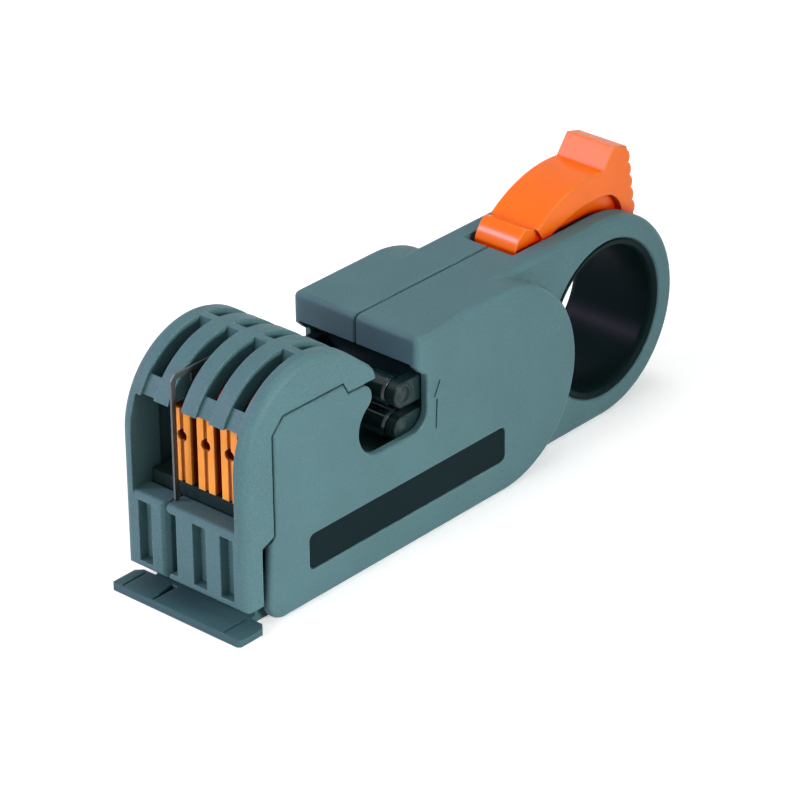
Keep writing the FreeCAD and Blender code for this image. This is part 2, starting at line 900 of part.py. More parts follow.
def blade_head():
    """Build the blade head: two cheeks, the sill with its slit, and the ribbed arch."""
    head = Piece("blade_head")
    half = head_half_width()
    inside = half - named("cheek")
    far = named("head_far_extra")
    pitch = named("slot_pitch")
    slot = named("rib_slot")
    outer = named("arch_radius") + PAST
    inner = named("arch_radius") - named("rib_depth") - PAST
    bar = named("arch_radius") - named("bar_recess")
    crest = named("crest_front_angle")
    head.slab("XZ_Plane", -half, half + far, [head_outline()])
    head.slab("XZ_Plane", -inside, inside + far, [head_hollow()], cut=True)
    first = -(pitch * ((RIB_SLOTS - 1) / 2)) - slot / 2
    last = first + slot
    end = named("rib_end_angle")
    through = [arch_sector(inner, outer, crest, named("bar_angle"))]
    head.repeat(head.slab("XZ_Plane", first, last, through, cut=True), "Y_Axis", pitch, RIB_SLOTS)
    recess = [arch_sector(bar, outer, crest, end)]
    head.repeat(head.slab("XZ_Plane", first, last, recess, cut=True), "Y_Axis", pitch, RIB_SLOTS)
    groove = [nose_groove()]
    head.repeat(head.slab("XZ_Plane", first, last, groove, cut=True), "Y_Axis", pitch, RIB_SLOTS)
    slit = [arch_sector(inner, outer, named("bar_angle") - PAST, end)]
    head.slab("XZ_Plane", pitch / 2 - slot / 2, pitch / 2 + slot / 2, slit, cut=True)
    front_of_sill(head)
    return head


def front_of_sill(head):
    """Cut the sill's front pockets and the slit that the clip and the flange notch line up with."""
    front = -named("head_front")
    pitch = named("slot_pitch")
    slot = named("rib_slot")
    low = named("head_foot_height") + named("sill_lip")
    high = named("sill_height") - named("sill_lip")
    pockets = [
        box(pitch * column - slot / 2, low, pitch * column + slot / 2, high) for column in (-1.5, -0.5, 1.5)
    ]
    head.slab("YZ_Plane", front - PAST, front + named("sill_pocket"), pockets, cut=True)
    near_side = named("slit_near")
    lip = pitch / 2 - slot / 2 + named("slit_lip")
    far_side = lip + named("slit_width")
    curl = named("slit_lip_bevel")
    above = named("sill_height") + PAST
    slit = [
        (lip, 0),
        (far_side, 0),
        (far_side, above),
        (lip, above),
        (lip, high + curl),
        (lip - curl, high),
        (near_side, high),
        (near_side, low),
        (lip - curl, low),
        (lip, low - curl),
    ]
    head.slab("YZ_Plane", front - PAST, front + named("front_wall") + PAST, [slit], cut=True)
    flare = named("slit_flare")
    depth = named("slit_flare_depth")
    mouth = [
        (front - PAST, far_side),
        (front + depth, far_side),
        (front + depth / 3, far_side + flare / 2),
        (front, far_side + flare),
        (front - PAST, far_side + flare),
    ]
    head.slab("XY_Plane", 0, above, [mouth], cut=True)


def round_head(head):
    """Round the head's cheeks along front and arch, its nose and the sill."""
    half = head_half_width().value
    far = half + SIZES["head_far_extra"]
    front = -SIZES["head_front"]
    arch = (SIZES["arch_station"], SIZES["arch_height"])
    radius = SIZES["arch_radius"]
    turn = math.radians(SIZES["nose_angle"])
    shoulder = arch[0] + radius * math.cos(turn)

    def on_cheek(edge):
        def test(point):
            on_front = near(point.x, front) and point.z <= arch[1] + 0.01
            on_arch = near(math.hypot(point.x - arch[0], point.z - arch[1]), radius)
            reach = (point.x - arch[0]) * math.cos(turn) + (point.z - arch[1]) * math.sin(turn)
            on_nose = near(reach, radius) and point.x > shoulder - 0.01
            on_side = near(point.y, -half) or near(point.y, far)
            return on_side and (on_front or on_arch or on_nose)

        return ends_at(edge, test)

    sill = (sized(front), named("sill_height"))
    foot = (sized(front), named("head_foot_height"))
    head.softened(named("head_rounding"), on_cheek)
    head.rounded(
        named("sill_rounding"),
        lambda edge: across_edge(edge, *sill) or across_edge(edge, *foot),
    )


def flange_outline():
    """Return the outline of the grip flange, with short front corners and a narrower root."""
    front = -named("flange_reach")
    width = named("flange_half_width")
    corner = named("flange_corner")
    taper = named("flange_taper")
    side = front + named("flange_depth")
    back = side + taper
    rear = named("flange_overlap") - named("magazine_front")
    inside = head_half_width() - named("cheek") - named("slide_clearance")
    return [
        (front, -(width - corner)),
        (front + corner, -width),
        (side, -width),
        (back, -(width - taper)),
        (back, -inside),
        (rear, -inside),
        (rear, inside),
        (back, inside),
        (back, width - taper),
        (side, width),
        (front + corner, width),
        (front, width - corner),
    ]


def flange_marks():
    """Return the narrow lines across the top of the flange, one near each end."""
    width = named("line_width")
    rows = (-named("line_near") - width, named("line_far"))
    return [box(-named("notch_front"), row, -named("notch_rear"), row + width) for row in rows]


def flange_notch():
    """Return the notch of the flange, in line with the slit of the sill and narrower to the front."""
    front = -named("notch_front")
    rear = -named("notch_rear")
    near_side = named("notch_near")
    return [
        (front, near_side),
        (rear, near_side),
        (rear, named("notch_far")),
        (front, near_side + named("notch_tip")),
    ]


def blade_magazine():
    """Build the magazine: grip flange, riser, hollow base and the fins between the carriers."""
    magazine = Piece("blade_magazine")
    thickness = named("flange_thickness")
    magazine.slab("XY_Plane", 0, thickness, [flange_outline()])
    notch = thickness - named("notch_depth")
    magazine.slab("XY_Plane", thickness, notch, [flange_notch()], cut=True)
    magazine.slab("XY_Plane", thickness, thickness - named("line_depth"), flange_marks(), cut=True)
    gap = named("slide_clearance")
    inside = head_half_width() - named("cheek") - gap
    far = inside + named("head_far_extra")
    front = -named("magazine_front")
    riser = -named("riser_station") - gap
    top = named("carrier_bottom") - gap
    end = named("magazine_bay_rear") - gap
    low = named("floor_wall") + gap
    side = [(front, 0), (riser, 0), (riser, low), (end, low), (end, top), (front, top)]
    magazine.slab("XZ_Plane", -inside, far, [side])
    wall = named("magazine_wall")
    cell = [box(riser, low + wall, end + PAST, top - wall)]
    magazine.slab("XZ_Plane", -(inside - wall), -(wall / 2), cell, cut=True)
    magazine.slab("XZ_Plane", wall / 2, far - wall, cell, cut=True)
    pitch = named("carrier_pitch")
    middle = -named("carrier_middle") - pitch * ((FINS - 1) / 2)
    thin = named("fin_thickness") / 2
    fin = [box(front + named("fin_setback"), top, end - named("fin_setback"), named("fin_top"))]
    magazine.repeat(magazine.slab("XZ_Plane", middle - thin, middle + thin, fin), "Y_Axis", pitch, FINS)
    magazine.rounded(
        named("flange_bevel"),
        lambda edge: across_edge(edge, -named("flange_reach"), thickness),
        kind="Chamfer",
    )
    return magazine


def retaining_clip():
    """Build the thin spring-steel clip: a leg in the slit and a split top leg under the ribs."""
    clip = Piece("retaining_clip")
    front = -named("clip_front")
    leg = front + named("clip_leg")
    foot = named("sill_height") + named("bore_clearance") * 2
    top = named("clip_height")
    across = named("clip_across")
    bend = named("clip_bend")
    strip = top - named("clip_strip")
    split = strip - named("clip_split")
    split_front = leg + named("clip_split_front")
    split_rear = leg + named("clip_split_rear")
    low = top - named("clip_depth")
    end = leg + named("clip_length")
    outline = [
        (front, foot),
        (leg, foot),
        (leg, strip - bend),
        (leg + bend / 2, strip),
        (split_rear, strip),
        (split_rear, split),
        (split_front, split),
        (split_front, low),
        (end, low),
        (end, top),
        (front + bend, top),
        (front, top - bend),
    ]
    clip.slab("XZ_Plane", across, across + named("clip_thickness"), [outline])
    return clip


def blade_set(letter, row):
    """Build one carrier with its blade and depth screw; row counts from the middle, to the far side."""
    across = named("carrier_pitch") * row - named("carrier_middle")
    front = -named("carrier_front")
    rear = front + named("carrier_length")
    low = named("carrier_bottom")
    high = low + named("carrier_height")
    half = named("carrier_width") / 2
    groove = named("groove_width") / 2
    play = named("bore_clearance")
    thin = named("blade_thickness") / 2
    screw = named("depth_screw_radius")
    height = named("depth_screw_height")
    length = named("depth_screw_length")
    bottom = named("blade_bottom")
    top = bottom + named("blade_height")
    root_end = named("blade_root")
    tip = named("blade_tip")
    pocket = named("blade_pocket")
    run = named("blade_bevel_run")
    rise = named("blade_bevel_rise")
    sink = front + named("depth_screw_recess")
    room = sink + length + named("depth_screw_room")
    carrier = Piece("blade_carrier_" + letter, across=across)
    carrier.slab("XZ_Plane", -half, half, [box(front, low, rear, high)])
    channel = [box(front - PAST, -groove, front + named("groove_depth"), groove)]
    carrier.slab("XY_Plane", low - PAST, high + PAST, channel, cut=True)
    bore = [[(0, height, screw + play)]]
    carrier.slab("YZ_Plane", front - PAST, room, bore, cut=True)
    slot = [box(root_end - pocket, bottom - pocket, rear + PAST, top + pocket)]
    carrier.slab("XZ_Plane", -(thin + play), thin + play, slot, cut=True)
    blade = Piece("blade_" + letter, across=across)
    edge = [
        (root_end, bottom),
        (tip - run, bottom),
        (tip, bottom + rise),
        (tip, top - rise),
        (tip - run, top),
        (root_end, top),
    ]
    blade.slab("XZ_Plane", -thin, thin, [edge])
    depth_screw = Piece("depth_screw_" + letter, across=across)
    depth_screw.slab("YZ_Plane", sink, sink + length, [[(0, height, screw)]])


def roller_carriage():
    """Build the carriage: a block that slides in the bay, with two pairs of arms for the rollers."""
    carriage = Piece("roller_carriage")
    half = carriage_half_width()
    station = named("roller_station")
    front = named("carriage_station")
    rear = front + named("carriage_thickness")
    gap = named("slide_clearance")
    low = named("carriage_bay_floor") + gap
    high = named("carriage_bay_ceiling") - gap
    hub = named("hub_radius")
    heights = (roller_height("lower"), roller_height("upper"))
    arms = [
        [
            (front + PAST, height - hub),
            (front + PAST, height + hub),
            (station, height + hub),
            (station - hub, height, hub),
            (station, height - hub, hub),
        ]
        for height in heights
    ]
    carriage.slab("XZ_Plane", -half, half, [box(front, low, rear, high)])
    carriage.slab("XZ_Plane", -half, -(half - named("arm_thickness")), arms)
    carriage.slab("XZ_Plane", half - named("arm_thickness"), half, arms)
    pin = named("roller_pin_radius") + named("bore_clearance")
    bores = [[(station, height, pin)] for height in heights]
    carriage.slab("XZ_Plane", -half - PAST, half + PAST, bores, cut=True)
    rod = named("rod_radius") + named("bore_clearance")
    seat = front + named("rod_seat")
    carriage.slab("YZ_Plane", seat, rear + PAST, [[(0, named("rod_height"), rod)]], cut=True)
    return carriage


def rollers_and_pins():
    """Build both rollers, each a tube on its own pin through the carriage's arms."""
    half = carriage_half_width() - named("arm_thickness") - named("roller_end_gap")
    pin = named("roller_pin_radius")
    bore = pin + named("bore_clearance")
    outer = named("roller_radius")
    chamfer = named("roller_bevel")
    tube = [
        (bore, -half),
        (outer - chamfer, -half),
        (outer, chamfer - half),
        (outer, half - chamfer),
        (outer - chamfer, half),
        (bore, half),
    ]
    for place in ("upper", "lower"):
        height = roller_height(place)
        station = named("roller_station")
        Piece(place + "_roller", station, 0, height).turned(tube)
        rod = Piece(place + "_roller_pin", station, 0, height)
        end = carriage_half_width()
        rod.slab("XZ_Plane", -end, end, [[(0, 0, pin)]])
        rod.rounded(named("pin_bevel"), lambda edge: edge.isClosed(), kind="Chamfer")


def pull_rod():
    """Build the rod that ties the carriage to the lever's leg."""
    rod = Piece("pull_rod")
    height = named("rod_height")
    start = named("carriage_station") + named("rod_seat")
    rod.slab("YZ_Plane", start, named("rod_end"), [[(0, height, named("rod_radius"))]])
    bore = [[(named("lever_pin_station"), height, named("lever_pin_radius") + named("bore_clearance"))]]
    half = named("rod_radius") + PAST
    rod.slab("XZ_Plane", -half, half, bore, cut=True)
    return rod


def lever_end():
    """Return the station where the lever's foot ends, one travel short of the slot's rear."""
    return named("slot_end") - named("carriage_travel") - named("slide_clearance")


def lever_arch():
    """Return the outline of the lever's arch and head, with the teeth of its rear face."""
    top = named("body_height")
    half = top / 2
    ring = named("ring_station")
    end = lever_end()
    gap = named("hood_gap")
    heel = polar((ring, half), half + gap, named("heel_angle"))
    tip = polar((ring, half), half - named("heel_low_depth"), named("heel_low_angle"))
    under = half - named("groove_sink") + gap
    tuck = polar((ring, half), under, named("heel_tuck_angle"))
    head = named("head_station")
    crown = named("head_height")
    count = SIZES["teeth"]
    crest = (head + named("crest_run"), crown - named("crest_drop"))
    teeth = []
    for number in range(1, count + 1):
        share = number / count
        step = (heel[0] + (crest[0] - heel[0]) * share, heel[1] + (crest[1] - heel[1]) * share)
        teeth.append((*step, named("tooth_radius")))
    toe = named("foot_station") + named("toe_run")
    low = top - named("arch_depth")
    slope = toe + named("toe_slope")
    return [
        (slope, low),
        (end, low),
        (end, half + under),
        (ring, half + under),
        (*tuck, -under),
        tip,
        heel,
        *teeth,
        (head + named("brow_run"), crown - named("brow_drop")),
        (head + named("crown_run"), crown),
        (head, named("arch_crown_height")),
        (toe, top + named("toe_rise"), named("arch_back_radius")),
        (slope, top),
    ]


def lever_foot():
    """Return the outline of the lever's foot, its tongue under the deck and its leg to the rod."""
    top = named("body_height")
    foot = named("foot_station")
    under = top - named("deck_thickness") - named("slide_clearance")
    leg = named("leg_station")
    rear = leg + named("leg_thickness")
    low = named("lever_bay_floor") + named("slide_clearance")
    end = lever_end()
    tongue = top - named("tongue_depth")
    return [
        (leg, under),
        (leg, low),
        (rear, low),
        (rear, tongue),
        (foot, tongue),
        (foot + named("tongue_run"), tongue + named("tongue_rise")),
        (end, top - named("arch_depth")),
        (end, top + PAST),
        (foot + named("toe_run"), top + named("toe_rise")),
        (foot + named("foot_crest_run"), top + named("foot_crest_rise")),
        (foot, top - named("foot_drop"), named("foot_radius")),
        (foot, under),
    ]


def lever_web():
    """Return the outline of the recess in each side of the arch."""
    top = named("body_height")
    head = named("head_station")
    front = head - named("web_front")
    rear = head + named("web_rear")
    low = top - named("web_depth")
    return [
        (front, low),
        (rear, low),
        (rear, top - named("web_heel")),
        (head, top + named("web_heel"), named("web_corner_radius")),
        (front, top, named("web_top_radius")),
    ]


def thumb_lever():
    """Build the thumb lever with its side recesses, rod bore and pin bore."""
    lever = Piece("thumb_lever")
    half = named("lever_half_width")
    foot = named("foot_half_width")
    recess = half - named("lever_recess")
    lever.slab("XZ_Plane", -half, half, [lever_arch()])
    lever.slab("XZ_Plane", -foot, foot, [lever_foot()])
    lever.slab("XZ_Plane", -half - PAST, -recess, [lever_web()], cut=True)
    lever.slab("XZ_Plane", recess, half + PAST, [lever_web()], cut=True)
    height = named("rod_height")
    play = named("bore_clearance")
    leg = named("leg_station")
    bore = [[(0, height, named("rod_radius") + play)]]
    lever.slab("YZ_Plane", leg - PAST, leg + named("leg_thickness") + PAST, bore, cut=True)
    pin = [[(named("lever_pin_station"), height, named("lever_pin_radius") + play)]]
    lever.slab("XZ_Plane", -foot - PAST, foot + PAST, pin, cut=True)
    return lever


def lever_pin():
    """Build the pin through the lever's leg and the rod."""
    pin = Piece("lever_pin", named("lever_pin_station"), 0, named("rod_height"))
    half = named("foot_half_width")
    pin.slab("XZ_Plane", -half, half, [[(0, 0, named("lever_pin_radius"))]])
    return pin


def ring_liner():
    """Build the soft-edged liner of the finger ring."""
    liner = Piece("ring_liner", named("ring_station"), 0, named("body_height") / 2)
    outer = named("ring_hole_radius") - named("bore_clearance")
    bore = named("ring_hole_radius") - named("liner_wall")
    half = named("handle_half_width") - named("bore_clearance") * 2
    lip = named("liner_lip")
    step = lip * (1 - math.sqrt(0.5))
    liner.turned([
        (outer, -half),
        (outer, half),
        (bore + lip, half),
        (bore + step, half - step),
        (bore, half - lip),
        (bore, lip - half),
        (bore + step, step - half),
        (bore + lip, -half),
    ])
    return liner


def label_plate():
    """Build the bare plate in the label recess."""
    plate = Piece("label_plate")
    seat = -(named("body_half_width") - named("label_recess"))
    outline = label_outline(named("bore_clearance") * 2)
    plate.slab("XZ_Plane", seat, seat - named("label_plate"), [outline])
    return plate


def half_coil(radius, wire):
    """Return half a turn of flat wire in a level plane, its centre line at a radius."""
    steps = 12
    turns = [math.pi * number / steps for number in range(steps + 1)]
    outside = [FreeCAD.Vector(math.cos(t), math.sin(t), 0) * (radius + wire) for t in turns]
    inside = [FreeCAD.Vector(math.cos(t), math.sin(t), 0) * (radius - wire) for t in reversed(turns)]
    outline = outside + inside + outside[:1]
    face = Part.Face(Part.makePolygon([point - FreeCAD.Vector(0, 0, wire) for point in outline]))
    return face.extrude(FreeCAD.Vector(0, 0, 2 * wire))


def return_spring():
    """Build the return spring on the rod from half turns of flat wire that climb in turn."""
    turns = SIZES["spring_turns"]
    radius = SIZES["spring_radius"]
    wire = SIZES["spring_wire"]
    seat = SIZES["carriage_station"] + SIZES["carriage_thickness"]
    start = seat + wire + SIZES["spring_seat"]
    end = SIZES["carriage_bay_rear"] - wire - SIZES["spring_seat"]
    climb = (end - start) / (2 * turns)
    upright = FreeCAD.Vector(0, 0, 1)
    sideways = FreeCAD.Vector(0, 1, 0)
    tilt = FreeCAD.Rotation(sideways, math.degrees(math.atan2(climb / 2, radius)))
    halves = []
    for number in range(2 * turns):
        coil = half_coil(math.hypot(radius, climb / 2), wire)
        turn = FreeCAD.Rotation(upright, 180 * (number % 2))
        place = FreeCAD.Vector(0, 0, climb * (number + 0.5))
        coil.Placement = FreeCAD.Placement(place, turn * tilt)
        halves.append(coil)
    spring = DOC.addObject("Part::Feature", "return_spring")
    spring.Label = "return_spring"
    spring.Shape = halves[0].multiFuse(halves[1:])
    shift = (SIZES["flange_reach"] - SIZES["ring_station"] - SIZES["body_height"] / 2) / 2
    spring.Placement = FreeCAD.Placement(
        FreeCAD.Vector(shift + start, 0, SIZES["rod_height"]), FreeCAD.Rotation(sideways, 90)
    )
    PARTS.append(spring)


def housing_screws():
    """Build the group of screws that hold the two shells together."""
    screws = Piece("housing_screws")
    screws.body.AllowCompound = True
    height = named("screw_height")
    seat = half_width(1) - named("screw_head") - named("screw_sink")
    heads = [[(station, height, named("screw_head_radius"))] for station in SCREW_STATIONS]
    shanks = [[(station, height, named("screw_radius"))] for station in SCREW_STATIONS]
    screws.slab("XZ_Plane", seat - named("screw_length"), seat + PAST, shanks)
    screws.slab("XZ_Plane", seat, seat + named("screw_head"), heads)


def write_parts():
    """Check every object and sub-part, then write one file for each sub-part."""
    DOC.recompute()
    for item in DOC.Objects:
        if "Invalid" in item.State or "Error" in item.State:
            raise RuntimeError(f"{item.Name} failed")
    for piece in PARTS:
        if piece.Shape.isNull() or not piece.Shape.isValid() or not piece.Shape.Solids:
            raise RuntimeError(f"{piece.Label} has no sound solid")
    os.makedirs("parts", exist_ok=True)
    for piece in PARTS:
        piece.Shape.exportStep(os.path.join("parts", piece.Label + ".step"))


def build():
    """Build the whole tool."""
    size_sheet()
    for label, side in (("label_side_shell", -1), ("screw_side_shell", 1)):
        round_shell(housing_shell(label, side), side)
    round_head(blade_head())
    blade_magazine()
    retaining_clip()
    for row, letter in ((-1, "a"), (0, "b"), (1, "c")):
        blade_set(letter, row)
    roller_carriage()
    rollers_and_pins()
    pull_rod()
    return_spring()
    thumb_lever()
    lever_pin()
    ring_liner()
    label_plate()
    housing_screws()
    write_parts()


if __name__ == "__main__":
    build()
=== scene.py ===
"""Finishes, small fittings, light and camera of the coaxial cable stripper.

The tool lies along X, with its blade head towards -X and its finger ring towards +X. The plate is on
the -Y side and the thumb lever is on top. Lengths are in metres unless a name says millimetres.
"""

import json
import logging
import math
from dataclasses import dataclass
from enum import Enum
from typing import Callable, Sequence

import bpy
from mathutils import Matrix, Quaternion, Vector

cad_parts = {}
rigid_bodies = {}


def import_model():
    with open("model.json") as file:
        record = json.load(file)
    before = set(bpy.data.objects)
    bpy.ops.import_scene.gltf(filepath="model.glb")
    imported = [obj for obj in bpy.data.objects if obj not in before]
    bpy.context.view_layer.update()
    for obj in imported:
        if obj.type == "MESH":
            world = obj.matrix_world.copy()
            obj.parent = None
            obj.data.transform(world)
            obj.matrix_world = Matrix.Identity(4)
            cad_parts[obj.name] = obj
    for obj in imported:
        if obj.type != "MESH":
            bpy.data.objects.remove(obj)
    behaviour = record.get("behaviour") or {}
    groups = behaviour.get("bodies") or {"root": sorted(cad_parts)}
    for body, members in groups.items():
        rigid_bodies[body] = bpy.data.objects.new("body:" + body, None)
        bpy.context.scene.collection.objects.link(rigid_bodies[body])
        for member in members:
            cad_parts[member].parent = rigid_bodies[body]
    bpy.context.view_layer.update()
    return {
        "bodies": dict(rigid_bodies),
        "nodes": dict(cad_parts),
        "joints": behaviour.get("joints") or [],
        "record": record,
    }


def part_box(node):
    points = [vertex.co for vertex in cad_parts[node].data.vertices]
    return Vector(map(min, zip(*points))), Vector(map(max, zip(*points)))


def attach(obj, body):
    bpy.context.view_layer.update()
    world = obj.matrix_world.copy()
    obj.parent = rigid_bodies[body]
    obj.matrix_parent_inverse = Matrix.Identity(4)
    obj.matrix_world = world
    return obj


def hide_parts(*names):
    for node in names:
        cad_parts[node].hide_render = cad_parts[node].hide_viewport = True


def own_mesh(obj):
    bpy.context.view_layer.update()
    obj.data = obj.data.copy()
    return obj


LOG = logging.getLogger("cable_stripper")

MM = 0.001
# Place along X of the station 0 that other stations are measured from.
STATION_ZERO_MM = -47.025
# Angles between faces: edges sharper than the first are rounded, and flatter ones are smoothed.
ROUNDED_ABOVE = math.radians(40)
SMOOTH_BELOW = math.radians(35)
COIL_SMOOTH_BELOW = math.radians(50)
# A face looks along a direction if the product of the two is above this.
FACING = 0.9

# The rim round a screw's hexagon socket, and the key that cuts it.
RIM_SIDES = 24
RIM_DEPTH_MM = 0.3
RIM_ROUNDING_MM = 0.05
KEY_SIDES = 6
KEY_SHARE = 0.6
KEY_DEPTH_MM = 2.0

Colour = tuple[float, float, float]
Point = tuple[float, float, float]


class Tree:
    """A material's shader tree, built one node at a time.

    Args:
        name: The material's name.
    """

    def __init__(self, name: str) -> None:
        self.material = bpy.data.materials.new(name)
        self.material.use_nodes = True
        self.nodes = self.material.node_tree.nodes
        self.links = self.material.node_tree.links
        self.nodes.clear()
        self.output = self.nodes.new("ShaderNodeOutputMaterial")
        self.shader = self.nodes.new("ShaderNodeBsdfPrincipled")
        self.links.new(self.shader.outputs["BSDF"], self.output.inputs["Surface"])
        self.place = self.nodes.new("ShaderNodeTexCoord").outputs["Object"]

    def noise(
        self, feature_mm: float, detail: float = 2.0, roughness: float = 0.5
    ) -> bpy.types.NodeSocket:
        """Add a noise pattern in object space.

        Args:
            feature_mm: Size of the pattern's features.
            detail: How many finer layers the pattern has.
            roughness: How strong the finer layers are.

        Returns:
            The pattern's value, from 0 to 1.
        """
        node = self.nodes.new("ShaderNodeTexNoise")
        node.inputs["Scale"].default_value = 1 / (feature_mm * MM)
        node.inputs["Detail"].default_value = detail
        node.inputs["Roughness"].default_value = roughness
        self.links.new(self.place, node.inputs["Vector"])
        return node.outputs["Fac"]

    def streaks(self, feature_mm: float, stretch: Point) -> bpy.types.NodeSocket:
        """Add a noise pattern drawn out along an axis, as brushing leaves it.

        Args:
            feature_mm: Size of the pattern's features before they are drawn out.
            stretch: Scale along each axis; a small one draws the pattern out.

        Returns:
            The pattern's value, from 0 to 1.
        """
        mapping = self.nodes.new("ShaderNodeMapping")
        mapping.inputs["Scale"].default_value = stretch
        self.links.new(self.place, mapping.inputs["Vector"])
        node = self.nodes.new("ShaderNodeTexNoise")
        node.inputs["Scale"].default_value = 1 / (feature_mm * MM)
        self.links.new(mapping.outputs["Vector"], node.inputs["Vector"])
        return node.outputs["Fac"]

    def ramp(
        self, value: bpy.types.NodeSocket, stops: Sequence[tuple[float, Colour]]
    ) -> bpy.types.NodeSocket:
        """Turn a value into a colour.

        Args:
            value: The value that picks the colour.
            stops: Positions with their colours, in order.

        Returns:
            The colour.
        """
        node = self.nodes.new("ShaderNodeValToRGB")
        elements = node.color_ramp.elements
        while len(elements) < len(stops):
            elements.new(0.5)
        for element, (position, colour) in zip(elements, stops):
            element.position = position
            element.color = (*colour, 1.0)
        self.links.new(value, node.inputs["Fac"])
        return node.outputs["Color"]

    def scaled(self, value: bpy.types.NodeSocket, low: float, high: float) -> bpy.types.NodeSocket:
        """Map a value from 0 to 1 onto a range.

        Args:
            value: The value to map.
            low: Result at 0.
            high: Result at 1.

        Returns:
            The mapped value.
        """
        node = self.nodes.new("ShaderNodeMapRange")
        node.inputs["To Min"].default_value = low
        node.inputs["To Max"].default_value = high
        self.links.new(value, node.inputs["Value"])
        return node.outputs["Result"]

    def share(self, value: bpy.types.NodeSocket, none: float, whole: float) -> bpy.types.NodeSocket:
        """Turn a value into a share.

        Args:
            value: The value.
            none: Value at which the share is 0.
            whole: Value at which the share is 1.

        Returns:
            The share, never below 0 or above 1.
        """
        node = self.nodes.new("ShaderNodeMapRange")
        node.inputs["From Min"].default_value = none
        node.inputs["From Max"].default_value = whole
        self.links.new(value, node.inputs["Value"])
        return node.outputs["Result"]

    def share_along(self, axis: str, low_mm: float, high_mm: float) -> bpy.types.NodeSocket:
        """Find how far between two places along an axis a point lies.

        Args:
            axis: X, Y or Z.
            low_mm: Place at which the share starts.
            high_mm: Place at which the share is whole.

        Returns:
            A share from 0 to 1.
        """
        parts = self.nodes.new("ShaderNodeSeparateXYZ")
        self.links.new(self.place, parts.inputs["Vector"])
        return self.share(parts.outputs[axis], low_mm * MM, high_mm * MM)

    def mixed(
        self, share: bpy.types.NodeSocket, first: bpy.types.NodeSocket, second: bpy.types.NodeSocket
    ) -> bpy.types.NodeSocket:
        """Mix two colours.

        Args:
            share: Share of the second colour.
            first: The first colour.
            second: The second colour.

        Returns:
            The mixed colour.
        """
        node = self.nodes.new("ShaderNodeMix")
        node.data_type = "RGBA"
        self.links.new(share, node.inputs["Factor"])
        self.links.new(first, node.inputs[6])
        self.links.new(second, node.inputs[7])
        return node.outputs[2]

    def soft_edges(self, radius_mm: float) -> bpy.types.NodeSocket:
        """Round every edge in the shading, as a mould does.

        Args:
            radius_mm: Radius of the rounding.

        Returns:
            The bent normals.
        """
        node = self.nodes.new("ShaderNodeBevel")
        node.samples = 6
        node.inputs["Radius"].default_value = radius_mm * MM
        return node.outputs["Normal"]

    def edge_share(self, radius_mm: float, low: float, high: float) -> bpy.types.NodeSocket:
        """Find how near a point is to an edge.

        Args:
            radius_mm: How far from an edge it counts.
            low: Turn of the normal at which the share starts, from 0 to 1.
            high: Turn of the normal at which the share is whole.

        Returns:
            A share from 0, away from edges, to 1, on an edge.
        """
        bent = self.soft_edges(radius_mm)
        flat = self.nodes.new("ShaderNodeNewGeometry").outputs["Normal"]
        dot = self.nodes.new("ShaderNodeVectorMath")
        dot.operation = "DOT_PRODUCT"
        self.links.new(bent, dot.inputs[0])
        self.links.new(flat, dot.inputs[1])
        return self.share(dot.outputs["Value"], 1 - low, 1 - high)

    def shelter(self, reach_mm: float, low: float, high: float) -> bpy.types.NodeSocket:
        """Find how sheltered a point is by the walls round it.

        Args:
            reach_mm: How far away a wall counts.
            low: Shelter at which the share starts, from 0 to 1.
            high: Shelter at which the share is whole.

        Returns:
            A share from 0, in the open, to 1, in a pocket.
        """
        pocket = self.nodes.new("ShaderNodeAmbientOcclusion")
        pocket.samples = 12
        pocket.inputs["Distance"].default_value = reach_mm * MM
        return self.share(pocket.outputs["AO"], 1 - low, 1 - high)

    def bump(
        self, height: bpy.types.NodeSocket, depth_mm: float, normal: bpy.types.NodeSocket | None = None
    ) -> bpy.types.NodeSocket:
        """Raise the surface by a pattern.

        Args:
            height: The pattern.
            depth_mm: Height of its full value.
            normal: Normals that it starts from.

        Returns:
            The bent normals.
        """
        node = self.nodes.new("ShaderNodeBump")
        node.inputs["Distance"].default_value = depth_mm * MM
        self.links.new(height, node.inputs["Height"])
        if normal is not None:
            self.links.new(normal, node.inputs["Normal"])
        return node.outputs["Normal"]

    def set(self, **values: float | Colour) -> None:
        """Set plain values on the shader.

        Args:
            **values: A number or colour for each socket, with an underscore for a space in its name.
        """
        for name, value in values.items():
            socket = self.shader.inputs[name.replace("_", " ")]
            socket.default_value = (*value, 1.0) if isinstance(value, tuple) else value

    def feed(self, socket: str, source: bpy.types.NodeSocket) -> None:
        """Link a pattern to a socket of the shader.

        Args:
            socket: The socket's name.
            source: The pattern.
        """
        self.links.new(source, self.shader.inputs[socket])


def shade(colour: Colour, factor: float) -> Colour:
    """Lighten or darken a colour.

    Args:
        colour: The colour.
        factor: Factor on each channel.

    Returns:
        The new colour, each channel kept at 1 or less.
    """
    return tuple(min(channel * factor, 1.0) for channel in colour)


